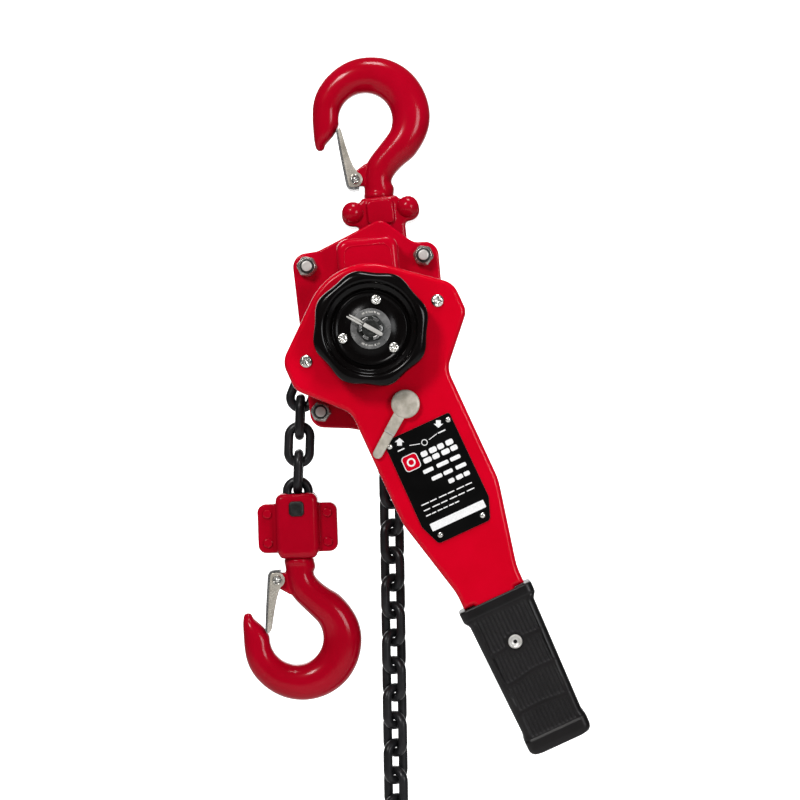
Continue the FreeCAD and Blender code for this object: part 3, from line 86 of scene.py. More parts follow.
SHAFT_POINT = JOINTS["load_feed"]["pos_m"]
SELECTOR_POINT = JOINTS["selector_turn"]["pos_m"]
PAWL_GEARS = [JOINTS[name]["pos_m"] for name in ("reduction_b_spin", "reduction_a_spin")]
SHAFT = group(SHAFT_POINT, (0, 0, 1))
BODY = group(SHAFT_POINT, direction(*PAWL_GEARS))
LEVER = group(SHAFT_POINT, direction((SELECTOR_POINT[0], 0, SELECTOR_POINT[2]), SHAFT_POINT))
TOP_HOOK = group((0, 0, 0), [-part for part in JOINTS["top_hook_swivel"]["axis"]])
BOTTOM_HOOK = group(MOUNTS["bottom_hook_seat"]["pos_m"], JOINTS["bottom_hook_swivel"]["axis"])
SELECTOR = group((SELECTOR_POINT[0], 0, SELECTOR_POINT[2]),
                 direction((SELECTOR_POINT[0], 0, SELECTOR_POINT[2]), SHAFT_POINT))
LEVER_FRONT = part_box("lever_front_shell")[0].y * 1000
HANDWHEEL_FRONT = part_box("handwheel")[0].y * 1000
HANDWHEEL_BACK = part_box("handwheel")[1].y * 1000
DISC_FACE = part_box("handwheel_cover")[0].y * 1000


# ---------------------------------------------------------------- materials

def mix_colour(tree, amount, first, second):
    mix = tree.nodes.new("ShaderNodeMix")
    mix.data_type = "RGBA"
    mix.inputs["A"].default_value = (*first, 1)
    mix.inputs["B"].default_value = (*second, 1)
    tree.links.new(amount, mix.inputs["Factor"])
    return mix.outputs["Result"]


def ranged(tree, amount, low, high, start=0.3, end=0.7):
    node = tree.nodes.new("ShaderNodeMapRange")
    node.inputs["From Min"].default_value = start
    node.inputs["From Max"].default_value = end
    node.inputs["To Min"].default_value = low
    node.inputs["To Max"].default_value = high
    tree.links.new(amount, node.inputs["Value"])
    return node.outputs["Result"]


def noise(tree, where, scale, detail=4.0):
    node = tree.nodes.new("ShaderNodeTexNoise")
    node.inputs["Scale"].default_value = scale
    node.inputs["Detail"].default_value = detail
    tree.links.new(where, node.inputs["Vector"])
    return node.outputs["Fac"]


def finish(name, dark, light, rough, metal=0.0, patch=60.0, grain=900.0, bump=0.04, edge=0.35,
           edge_highlight_colour=None, edge_highlight_amount=0.6, stretch=(1, 1, 1), shine=0.35):
    """A procedural finish: patchy colour, grainy roughness, a fine bump, and edges rounded, with a painted
    highlight tinted onto them where an edge colour is given.
    """
    result = bpy.data.materials.new(name)
    result.use_nodes = True
    tree = result.node_tree
    shader = tree.nodes["Principled BSDF"]
    place = tree.nodes.new("ShaderNodeTexCoord")
    mapping = tree.nodes.new("ShaderNodeMapping")
    mapping.inputs["Scale"].default_value = stretch
    tree.links.new(place.outputs["Object"], mapping.inputs["Vector"])
    where = mapping.outputs["Vector"]
    colour = mix_colour(tree, ranged(tree, noise(tree, where, patch), 0, 1), dark, light)
    fine = noise(tree, where, grain, 2.0)
    bevel = tree.nodes.new("ShaderNodeBevel")
    bevel.samples = 4
    bevel.inputs["Radius"].default_value = edge * 0.001
    # Painted highlight: where the rounded-edge normal leans away from the true normal, the colour is mixed
    # towards a lighter edge colour.
    if edge_highlight_colour is not None:
        geometry = tree.nodes.new("ShaderNodeNewGeometry")
        dot = tree.nodes.new("ShaderNodeVectorMath")
        dot.operation = "DOT_PRODUCT"
        tree.links.new(bevel.outputs["Normal"], dot.inputs[0])
        tree.links.new(geometry.outputs["Normal"], dot.inputs[1])
        edge_highlight_mask = ranged(tree, dot.outputs["Value"], edge_highlight_amount, 0, 0.8, 0.98)
        mix = tree.nodes.new("ShaderNodeMix")
        mix.data_type = "RGBA"
        mix.inputs["B"].default_value = (*edge_highlight_colour, 1)
        tree.links.new(edge_highlight_mask, mix.inputs["Factor"])
        tree.links.new(colour, mix.inputs["A"])
        colour = mix.outputs["Result"]
    tree.links.new(colour, shader.inputs["Base Color"])
    tree.links.new(ranged(tree, fine, *rough), shader.inputs["Roughness"])
    bumps = tree.nodes.new("ShaderNodeBump")
    bumps.inputs["Strength"].default_value = bump
    bumps.inputs["Distance"].default_value = 0.0004
    tree.links.new(fine, bumps.inputs["Height"])
    tree.links.new(bevel.outputs["Normal"], bumps.inputs["Normal"])
    tree.links.new(bumps.outputs["Normal"], shader.inputs["Normal"])
    shader.inputs["Metallic"].default_value = metal
    shader.inputs["Specular IOR Level"].default_value = shine
    return result


# The edge colours below are painted highlights along the rounded edges, each lighter than its finish.
MATERIALS = {
    "hook_paint": finish("hook_paint", (0.33, 0.0, 0.009), (0.38, 0.0, 0.012), (0.13, 0.17),
                         patch=40, grain=160, bump=0.06, edge=0.6, shine=0.16),
    "body_paint": finish("body_paint", (0.44, 0.0, 0.012), (0.49, 0.0, 0.015), (0.13, 0.17),
                         patch=40, grain=200, bump=0.02, edge=0.6, edge_highlight_colour=(0.7, 0.02, 0.04),
                         shine=0.15),
    "lever_paint": finish("lever_paint", (0.53, 0.0, 0.011), (0.58, 0.0, 0.014), (0.13, 0.17),
                          patch=40, grain=200, bump=0.015, edge=0.5, edge_highlight_colour=(0.85, 0.05, 0.08),
                          shine=0.13),
    "chain_black": finish("chain_black", (0.006, 0.006, 0.007), (0.018, 0.018, 0.02), (0.28, 0.42),
                          metal=0.3, grain=700, bump=0.2, edge_highlight_colour=(0.05, 0.05, 0.055)),
    "zinc": finish("zinc", (0.50, 0.49, 0.46), (0.74, 0.73, 0.69), (0.16, 0.3),
                   metal=1.0, grain=900, bump=0.06, edge=0.3),
    "nut_zinc": finish("nut_zinc", (0.26, 0.25, 0.23), (0.42, 0.41, 0.385), (0.18, 0.26),
                       metal=0.75, patch=160, grain=900, bump=0.02, edge=0.4,
                       edge_highlight_colour=(0.95, 0.93, 0.88), edge_highlight_amount=0.9),
    "satin_zinc": finish("satin_zinc", (0.46, 0.45, 0.42), (0.66, 0.65, 0.62), (0.28, 0.38),
                         metal=0.4, patch=120, grain=900, bump=0.03, edge=0.3),
    "latch_steel": finish("latch_steel", (0.40, 0.37, 0.31), (0.66, 0.62, 0.54), (0.22, 0.3),
                          metal=0.5, patch=110, grain=700, bump=0.015, edge=0.4),
    "machined": finish("machined", (0.24, 0.24, 0.24), (0.42, 0.42, 0.41), (0.22, 0.36),
                       metal=1.0, grain=1500, bump=0.1, stretch=(1, 6, 1), edge_highlight_colour=(0.6, 0.6, 0.6)),
    "handwheel_black": finish("handwheel_black", (0.0015, 0.001, 0.001), (0.003, 0.0025, 0.0025),
                              (0.12, 0.17), grain=300, bump=0.015, shine=0.16),
    "cover_black": finish("cover_black", (0.0015, 0.001, 0.001), (0.003, 0.0025, 0.0025), (0.18, 0.25),
                          grain=900, bump=0.02, shine=0.1),
    "washer_grey": finish("washer_grey", (0.13, 0.13, 0.13), (0.30, 0.30, 0.295), (0.25, 0.4),
                          metal=0.5, patch=160, grain=900, bump=0.1, edge=0.2, edge_highlight_colour=(0.6, 0.6, 0.6)),
    "dark_steel": finish("dark_steel", (0.015, 0.016, 0.015), (0.04, 0.042, 0.04), (0.32, 0.5),
                         metal=0.7, patch=300, grain=1400, bump=0.2, edge_highlight_colour=(0.16, 0.16, 0.16)),
    "grip_rubber": finish("grip_rubber", (0.004, 0.0033, 0.0036), (0.007, 0.006, 0.0064), (0.28, 0.4),
                          grain=2200, bump=0.1, edge=0.4, shine=0.25),
    "plate_black": finish("plate_black", (0.001, 0.001, 0.001), (0.003, 0.003, 0.003), (0.45, 0.55),
                          grain=1500, bump=0.03, edge=0.2, edge_highlight_colour=(0.3, 0.3, 0.3), shine=0.03),
    "print_white": finish("print_white", (0.70, 0.70, 0.70), (0.85, 0.85, 0.85), (0.4, 0.5),
                          patch=900, edge=0.02, grain=2500, bump=0.05),
    "selector_cast": finish("selector_cast", (0.36, 0.33, 0.27), (0.56, 0.52, 0.45), (0.4, 0.55),
                            metal=0.4, patch=260, grain=1600, bump=0.35, edge=0.6,
                            edge_highlight_colour=(0.6, 0.57, 0.5)),
    "bush_bronze": finish("bush_bronze", (0.36, 0.2, 0.07), (0.5, 0.3, 0.12), (0.3, 0.45),
                          metal=1.0, grain=1500),
    "friction": finish("friction", (0.06, 0.045, 0.035), (0.12, 0.09, 0.07), (0.7, 0.9),
                       patch=700, grain=2600, bump=0.4),
}


def paint(obj, slot):
    """Give an object one finish."""
    obj.data.materials.clear()
    obj.data.materials.append(MATERIALS[slot])


def smooth_shading(obj, degrees=35):
    """Shade smoothly except across edges sharper than the given angle."""
    obj.data.shade_smooth()
    obj.data.set_sharp_from_angle(angle=math.radians(degrees))


def dress_frame():
    """Every CAD node gets the finish of its own slot."""
    for part in frame["record"]["subparts"]:
        node = NODES[part["node"]]
        paint(node, part["material_slot"])
        smooth_shading(node)


# ---------------------------------------------------------------- mesh helpers

def piece(name, verts, faces, place, slot, body, degrees=35):
    """A new mesh piece, drawn in a group's millimetres, baked into the row frame and riding on a body."""
    mesh = bpy.data.meshes.new(name)
    mesh.from_pydata([tuple(vert) for vert in verts], [], faces)
    mesh.transform(place)
    mesh.validate()
    obj = bpy.data.objects.new(name, mesh)
    bpy.context.scene.collection.objects.link(obj)
    worked = bmesh.new()
    worked.from_mesh(mesh)
    bmesh.ops.recalc_face_normals(worked, faces=worked.faces)
    worked.to_mesh(mesh)
    worked.free()
    smooth_shading(obj, degrees)
    return settle(obj, slot, body)


def settle(obj, slot, body):
    """Finish, slot and body of a piece."""
    paint(obj, slot)
    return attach(obj, body)


def grid_faces(rows, columns, closed_rows=False):
    """Quads of a tube of rows by columns of points, which closes into a ring if closed_rows is set."""
    faces = []
    for row in range(rows if closed_rows else rows - 1):
        for column in range(columns):
            after_row = (row + 1) % rows
            after_column = (column + 1) % columns
            faces.append((row * columns + column, row * columns + after_column,
                          after_row * columns + after_column, after_row * columns + column))
    return faces


def lathe(name, profile, place, slot, body, segments=96, centre=(0, 0), lobes=None, degrees=35):
    """A turned piece about a depth axis, from (radius, y) points. A closed profile makes a ring, and one that
    ends on the axis at both ends makes a solid. lobes(radius, angle) may change a radius."""
    verts = []
    for radius, depth in profile:
        for step in range(segments):
            angle = 2 * math.pi * step / segments
            reach = lobes(radius, angle) if lobes else radius
            verts.append((centre[0] + reach * math.cos(angle), depth, centre[1] + reach * math.sin(angle)))
    on_axis = profile[0][0] < 1e-6
    faces = grid_faces(len(profile), segments, closed_rows=not on_axis)
    if on_axis:
        faces = weld_ends(faces, segments, (len(profile) - 1) * segments)
    return piece(name, verts, faces, place, slot, body, degrees)


def weld_ends(faces, segments, last):
    """Use one vertex at each end of a solid turned piece."""
    welded = []
    for face in faces:
        corners = []
        for index in face:
            index = 0 if index < segments else last if index >= last else index
            if index not in corners:
                corners.append(index)
        if len(corners) > 2:
            welded.append(tuple(corners))
    return welded


def slab(name, outline, back, front, place, slot, body, bevel=0.0, segments=3, degrees=35):
    """An outline of (x, z) points as a plate between two depths, with rounded front edges."""
    mesh = bmesh.new()
    base = [mesh.verts.new((x, back, z)) for x, z in outline]
    face = mesh.faces.new(base)
    made = bmesh.ops.extrude_face_region(mesh, geom=[face])
    top = [item for item in made["geom"] if isinstance(item, bmesh.types.BMVert)]
    for vert in top:
        vert.co.y = front
    if bevel > 0:
        edges = [edge for edge in mesh.edges if all(abs(vert.co.y - front) < 1e-5 for vert in edge.verts)]
        bmesh.ops.bevel(mesh, geom=edges, offset=bevel, segments=segments, profile=0.6, affect="EDGES",
                        clamp_overlap=True)
    verts = [vert.co.copy() for vert in mesh.verts]
    mesh.verts.index_update()
    faces = [tuple(vert.index for vert in face.verts) for face in mesh.faces]
    mesh.free()
    return piece(name, verts, faces, place, slot, body, degrees)


def arc(centre, radius, start, end, steps):
    """Points of an arc, in degrees."""
    points = []
    for step in range(steps + 1):
        turn = math.radians(start + (end - start) * step / steps)
        points.append((centre[0] + radius * math.cos(turn), centre[1] + radius * math.sin(turn)))
    return points


def rounded_box(left, right, low, high, radius, steps=6):
    """Outline of a rounded rectangle."""
    return (arc((right - radius, high - radius), radius, 0, 90, steps)
            + arc((left + radius, high - radius), radius, 90, 180, steps)
            + arc((left + radius, low + radius), radius, 180, 270, steps)
            + arc((right - radius, low + radius), radius, 270, 360, steps))


def wire(name, points, radius, place, slot, body, sides=12):
    """A round wire along points, with closed round ends."""
    path = [Vector(point) for point in points]
    verts = []
    side = Vector((0, 1, 0.01))
    for index, point in enumerate(path):
        ahead = path[min(index + 1, len(path) - 1)] - path[max(index - 1, 0)]
        ahead.normalize()
        side = (side - ahead * side.dot(ahead)).normalized()
        other = ahead.cross(side)
        scale = 0.55 if index in (0, len(path) - 1) else 1.0
        for step in range(sides):
            turn = 2 * math.pi * step / sides
            verts.append(point + (side * math.cos(turn) + other * math.sin(turn)) * radius * scale)
    faces = grid_faces(len(path), sides)
    faces.append(tuple(range(sides)))
    faces.append(tuple(range(len(verts) - sides, len(verts))))
    return piece(name, verts, faces, place, slot, body, 60)


def forged(node, voxel, rounds, slot, body):
    """A copy of a CAD node with its edges rounded as on a forging, which stands for the node."""
    obj = NODES[node].copy()
    obj.data = NODES[node].data.copy()
    obj.name = node + "_forged"
    obj.parent = None
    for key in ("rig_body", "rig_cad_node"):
        if key in obj:
            del obj[key]
    bpy.context.scene.collection.objects.link(obj)
    remesh = obj.modifiers.new("remesh", "REMESH")
    remesh.mode = "VOXEL"
    remesh.voxel_size = voxel * 0.001
    soften = obj.modifiers.new("soften", "SMOOTH")
    soften.factor = 0.5
    soften.iterations = rounds
    bpy.context.view_layer.update()
    result = bpy.data.meshes.new_from_object(obj.evaluated_get(bpy.context.evaluated_depsgraph_get()))
    obj.modifiers.clear()
    obj.data = result
    obj.data.shade_smooth()
    settle(obj, slot, body)
    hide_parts(node)


# ---------------------------------------------------------------- fasteners

def cross_head(name, centre, radius, base, rise, place, body, slot="zinc", turn=20.0, recess=1.2):
    """A domed screw head with a cross recess, seen from the front. base is the seat's depth."""
    rings, segments = 22, 72
    arm = radius * 0.16
    reach = radius * 0.62
    spin = math.radians(turn)
    verts = []
    for ring in range(rings + 1):
        share = ring / rings
        distance = radius * share
        dome = rise * (1 - 0.55 * share ** 3) if share < 1 else 0.0
        for step in range(segments):
            angle = 2 * math.pi * step / segments
            x = distance * math.cos(angle - spin)
            z = distance * math.sin(angle - spin)
            near = min(max(abs(x) / arm, abs(z) / reach), max(abs(z) / arm, abs(x) / reach))
            cut = recess * min(1.0, max(0.0, (1.25 - near) / 0.3)) * (1 - 0.5 * distance / reach)
            verts.append((centre[0] + distance * math.cos(angle), base - dome + max(0.0, cut),
                          centre[1] + distance * math.sin(angle)))
    faces = grid_faces(rings + 1, segments)
    faces = [tuple(0 if index < segments else index for index in face) for face in faces]
    faces = [tuple(dict.fromkeys(face)) for face in faces]
    faces.append(tuple(range(rings * segments, (rings + 1) * segments)))
    return piece(name, verts, faces, place, slot, body, 50)


def camera_and_light():
    """The photograph's viewpoint, a dim white world, and soft studio lights."""
    scene = bpy.context.scene
    scene.view_settings.view_transform = "Standard"
    eye = bpy.data.cameras.new("eye")
    eye.lens = 96.2
    eye.sensor_width = 36.0
    camera = bpy.data.objects.new("eye", eye)
    camera.location = (0.0227, -1.4, -0.1834)
    camera.rotation_euler = (math.pi / 2, 0, 0)
    scene.collection.objects.link(camera)
    scene.camera = camera
    world = bpy.data.worlds.new("room")
    world.use_nodes = True
    world.node_tree.nodes["Background"].inputs["Color"].default_value = (1, 1, 1, 1)
    world.node_tree.nodes["Background"].inputs["Strength"].default_value = 0.10
    scene.world = world
    for name, place, size, power, colour in (
            ("key", (-0.8, -1.7, 0.9), 0.45, 27.0, (1.0, 0.98, 0.97)),
            ("fill", (1.1, -1.6, 0.1), 0.6, 14.0, (0.97, 0.98, 1.0)),
            ("top", (0.1, -0.5, 1.3), 0.4, 13.0, (1, 1, 1)),
            ("low", (-0.3, -1.3, -1.1), 0.4, 5.0, (1, 1, 1)),
            ("rear", (-0.4, 1.4, 0.6), 0.9, 8.0, (1, 1, 1))):
        lamp = bpy.data.lights.new(name, "AREA")
        lamp.shape = "SQUARE"
        lamp.size = size
        lamp.energy = power
        lamp.color = colour
        holder = bpy.data.objects.new(name, lamp)
        holder.location = place
        aim = Vector((0.02, 0, -0.2)) - Vector(place)
        holder.rotation_euler = aim.to_track_quat("-Z", "Y").to_euler()
        scene.collection.objects.link(holder)


def stage():
    """A pale floor well below the hanging hoist, and a white backdrop behind it."""
    white = bpy.data.materials.new("stage_white")
    white.use_nodes = True
    shader = white.node_tree.nodes["Principled BSDF"]
    shader.inputs["Base Color"].default_value = (0.85, 0.85, 0.85, 1)
    shader.inputs["Roughness"].default_value = 0.9
    shader.inputs["Emission Color"].default_value = (1, 1, 1, 1)
    shader.inputs["Emission Strength"].default_value = 1.0
    pale = bpy.data.materials.new("stage_floor")
    pale.use_nodes = True
    pale.node_tree.nodes["Principled BSDF"].inputs["Base Color"].default_value = (0.8, 0.8, 0.8, 1)
    pale.node_tree.nodes["Principled BSDF"].inputs["Roughness"].default_value = 0.85
    sheets = (
        ("floor", [(-3, -3, -0.8), (3, -3, -0.8), (3, 3, -0.8), (-3, 3, -0.8)], pale),
        ("backdrop", [(-1.3, 1.75, -0.8), (1.3, 1.75, -0.8), (1.3, 1.75, 1.2), (-1.3, 1.75, 1.2)], white),
    )
    for name, corners, material in sheets:
        mesh = bpy.data.meshes.new(name)
        mesh.from_pydata(corners, [], [(0, 1, 2, 3)])
        mesh.materials.append(material)
        obj = bpy.data.objects.new(name, mesh)
        bpy.context.scene.collection.objects.link(obj)


# ---------------------------------------------------------------- handwheel and what sits in it

WHEEL_RADIUS = 35.6
LOBES = 8
LOBE_RISE = 1.0
FIRST_LOBE = math.radians(18)
PIN_TURN = 29.0


def lobed(radius, angle):
    """Lobes that fade out inside the rim."""
    share = min(1.0, max(0.0, (radius - 31.0) / 3.5))
    return radius + LOBE_RISE * share * math.cos(LOBES * (angle - FIRST_LOBE))


def handwheel():
    """The enamelled handwheel: a lobed rim, a rolled lip, and two steps down to its web."""
    back, front, web = HANDWHEEL_BACK, HANDWHEEL_FRONT, DISC_FACE + 2.25
    rim = WHEEL_RADIUS
    profile = [(6.1, back), (33.6, back), (34.6, back - 0.3), (35.2, back - 0.9), (35.5, back - 1.8)]
    profile += [(rim, back - 4.0), (rim, front + 6.0), (rim - 0.15, front + 4.2)]
    for step in range(1, 8):
        turn = math.radians(90 * step / 8)
        profile.append((rim - 4.2 + 4.05 * math.cos(turn), front + 4.2 - 4.2 * math.sin(turn)))
    profile += [(30.6, front), (29.7, front + 0.15), (29.1, front + 0.6), (28.7, front + 1.4)]
    profile += [(28.3, front + 3.2), (27.9, front + 3.9), (27.2, front + 4.3), (25.8, front + 4.8)]
    profile += [(25.1, front + 5.3), (24.6, front + 6.3), (24.2, web - 0.5), (23.8, web - 0.1), (23.3, web)]
    profile += [(6.1, web)]
    wheel = lathe("handwheel_enamelled", profile, SHAFT, "handwheel_black", "drive", 256, lobes=lobed,
                  degrees=60)
    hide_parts("handwheel")
    face = DISC_FACE
    disc = lathe("handwheel_cover_pressed", [(5.7, face + 2.1), (22.5, face + 2.1), (22.5, face + 0.5),
                                             (22.2, face + 0.1), (21.6, face + 0.02), (20.9, face + 0.45),
                                             (20.0, face + 0.6), (13.6, face + 0.6), (13.0, face + 0.1),
                                             (5.7, face + 0.1)],
                 SHAFT, "cover_black", "drive", 160, degrees=50)
    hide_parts("handwheel_cover")
    for index, angle in enumerate((80, 199, -39)):
        centre = (18.3 * math.cos(math.radians(angle)), 18.3 * math.sin(math.radians(angle)))
        head = cross_head(f"handwheel_screw_{index}", centre, 3.3, face + 0.05, 1.7, SHAFT, "drive",
                          turn=15 + 40 * index)
        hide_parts("handwheel_screws")


def shaft_copy():
    """The drive shaft with its end set back, so that the split pin's leg can lie bent over it."""
    node = NODES["drive_shaft"]
    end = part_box("drive_shaft")[0].y + 0.0014
    worked = bmesh.new()
    worked.from_mesh(node.data)
    worked.transform(node.matrix_world)
    for vert in worked.verts:
        vert.co.y = max(vert.co.y, end)
    mesh = bpy.data.meshes.new("drive_shaft_turned")
    worked.to_mesh(mesh)
    worked.free()
    obj = bpy.data.objects.new("drive_shaft_turned", mesh)
    bpy.context.scene.collection.objects.link(obj)
    smooth_shading(obj)
    settle(obj, "dark_steel", "drive")
    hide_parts("drive_shaft")
    return end * 1000


def shaft_end():
    """The washer with its stamped marks, the castle nut and the bent split pin on the shaft's end."""
    shaft_front = shaft_copy()
    collar = [(3.0, shaft_front + 0.3), (5.2, shaft_front + 0.3), (5.2, shaft_front - 0.05),
              (4.6, shaft_front - 0.15), (3.4, shaft_front - 0.15), (3.0, shaft_front - 0.05)]
    ring = lathe("shaft_end_ring", collar, SHAFT, "dark_steel", "drive", 64)
    ring.data.shade_smooth()
    washer_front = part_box("marked_washer")[0].y * 1000
    washer = lathe("washer_stamped", [(5.7, washer_front + 1.1), (12.6, washer_front + 1.1),
                                      (12.6, washer_front + 0.4), (12.3, washer_front), (5.7, washer_front)],
                   SHAFT, "washer_grey", "drive", 96)
    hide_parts("marked_washer")
    for side in (0, 180):
        for index, (low, high) in enumerate(((58, 68), (72, 78), (82, 98), (102, 108), (112, 122))):
            band = arc((0, 0), 10.9, low + side, high + side, 5)
            band += arc((0, 0), 9.7, high + side, low + side, 5)
            slab(f"washer_mark_{side}_{index}", band, washer_front + 0.1, washer_front - 0.25, SHAFT,
                 "satin_zinc", "drive", 0.1, 1)
    nut_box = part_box("castle_nut")
    base, crown_top = nut_box[1].y * 1000, nut_box[0].y * 1000
    outer = []
    for corner in range(6):
        outer += arc((0, 0), 8.7, 60 * corner - 6 + 10, 60 * corner + 6 + 10, 2)
    hexagon = slab("castle_nut_hexagon", outer, base, base - 3.4, SHAFT, "dark_steel", "drive", 0.5, 2)
    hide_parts("castle_nut")
    for tooth in range(6):
        middle = 60 * tooth + 30 - PIN_TURN
        band = arc((0, 0), 7.3, middle - 17, middle + 17, 8) + arc((0, 0), 5.5, middle + 15, middle - 15, 8)
        slab(f"castle_nut_tooth_{tooth}", band, base - 3.2, crown_top, SHAFT, "machined", "drive", 0.35, 2)
    tail = math.radians(180 - PIN_TURN)
    along = Vector((math.cos(tail), 0, math.sin(tail)))
    across = Vector((-along.z, 0, along.x))
    pin_depth = 0.5 * (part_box("split_pin")[0].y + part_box("split_pin")[1].y) * 1000
    for side, reach in ((1, 16.4), (-1, 15.4)):
        path = [along * distance + across * (0.78 * side) + Vector((0, pin_depth, 0))
                for distance in (5.2, 8.0, 12.0, reach)]
        leg = wire(f"split_pin_leg_{(side + 1) // 2}", path, 0.74, SHAFT, "satin_zinc", "drive")
        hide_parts("split_pin")
    half_width = 1.25
    blade = []
    for distance, side in ((-4.8, -1), (7.4, -1), (8.3, -0.4), (8.3, 0.4), (7.4, 1), (-4.8, 1)):
        point = -along * distance + across * (half_width * side)
        blade.append((point.x, point.z))
    bar = slab("split_pin_blade", blade, shaft_front + 0.4, shaft_front - 1.3, SHAFT, "satin_zinc", "drive",
               0.4, 3)
    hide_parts("split_pin")


# ---------------------------------------------------------------- nuts and screws of the frame and lever

STAYS = ((-37.5, 45.5), (37.5, 45.5), (-37.5, -48.0), (37.5, -48.0))
NUT_HEIGHT = 6.8


def six_sided(flats):
    """Radius function of a hexagon with softened corners, for a turned profile."""
    def reach(radius, angle):
        if radius < flats / 2 - 0.4:
            return radius
        within = (angle + math.radians(12)) % math.radians(60) - math.radians(30)
        return min(radius / math.cos(within), flats / 2 * 1.115)
    return reach


def stay_nuts():
    """Chamfered nuts with the peened stay ends standing out of them, on both sides."""
    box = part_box("stay_nuts")
    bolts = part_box("stay_bolts")
    for index, (x, z) in enumerate(STAYS):
        for side, seat in ((-1, box[0].y * 1000 + NUT_HEIGHT), (1, box[1].y * 1000 - NUT_HEIGHT)):
            end = seat + side * (NUT_HEIGHT - 0.05)
            name = f"{index}_{(side + 1) // 2}"
            profile = [(4.0, seat), (5.8, seat), (6.1, seat + side * 0.4), (6.1, seat + side * 4.4),
                       (5.75, seat + side * 5.4), (5.3, end - side * 0.25), (5.0, end),
                       (4.6, end - side * 0.2), (4.3, end - side * 1.0), (4.0, end - side * 1.4)]
            nut = lathe(f"stay_nut_{name}", profile, BODY, "nut_zinc", "frame", 96, (x, z),
                        six_sided(11.8), 30)
            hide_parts("stay_nuts")
            tip = bolts[0 if side < 0 else 1].y * 1000
            # Painted shade: a dark steel ring between the nut's bore and the stay end stands for the shade in
            # the gap between them.
            collar = [(3.2, tip - side * 0.6), (4.4, tip - side * 0.6), (4.4, tip), (4.1, tip + side * 0.12),
                      (3.2, tip + side * 0.12)]
            lathe(f"stay_shade_ring_{name}", collar, BODY, "dark_steel", "frame", 48, (x, z))
            dish = [(0, tip - side * 0.4), (3.2, tip - side * 0.4), (3.25, tip + side * 0.3),
                    (2.9, tip + side * 0.5), (2.2, tip + side * 0.35), (1.9, tip + side * 0.42),
                    (1.2, tip + side * 0.2), (0.8, tip + side * 0.3), (0, tip + side * 0.2)]
            lathe(f"stay_end_{name}", dish, BODY, "satin_zinc", "frame", 48, (x, z), degrees=50)


def hump_crease():
    """The second, finer contour pressed into the hump of the brake cover."""
    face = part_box("brake_cover")[0].y * 1000 + 0.15
    corner = 6.0
    flats = [(-13.2, 38.0), (-13.0, 48.0)]
    flats += arc((-12.9 + corner, 54.6 - corner), corner, 176, 94, 8)
    flats += arc((16.9 - corner, 54.6 - corner), corner, 86, 4, 8)
    flats += [(17.0, 48.0), (17.2, 38.0)]
    wire("hump_crease", [(x, face, z) for x, z in flats], 0.45, BODY, "body_paint", "frame", 10)


def lever_screws():
    """Cross-recess screws through the lobes and the dished head that holds the grip."""
    seat = LEVER_FRONT
    for side in (-1, 1):
        head = cross_head(f"lobe_screw_{(side + 1) // 2}", (45.0 * side, -1.0), 4.05, seat - 0.02, 2.15,
                          LEVER, "lever", turn=30 + 25 * side, recess=1.5)
        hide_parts("lever_screws")
    grip_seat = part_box("lever_grip")[0].y * 1000
    dish = [(0, grip_seat + 2.0), (4.3, grip_seat + 2.0), (4.4, grip_seat + 0.5), (4.2, grip_seat - 0.05),
            (3.8, grip_seat - 0.3), (3.3, grip_seat - 0.2), (3.0, grip_seat + 0.25), (2.0, grip_seat + 0.8),
            (1.0, grip_seat + 1.0), (0, grip_seat + 1.05)]
    head = lathe("grip_screw", dish, LEVER, "satin_zinc", "lever", 72, (0, -213.7), degrees=50)
    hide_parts("lever_screws")


# ---------------------------------------------------------------- rating plate and selector

def flat(name, points, front, slot="print_white"):
    """A printed mark on the plate, a hair thicker than the face it stands on."""
    return slab(name, points, front + 0.12, front - 0.04, LEVER, slot, "lever")


def turned_points(points, centre, degrees):
    turn = math.radians(degrees)
    cos, sin = math.cos(turn), math.sin(turn)
    return [(centre[0] + x * cos - z * sin, centre[1] + x * sin + z * cos) for x, z in points]


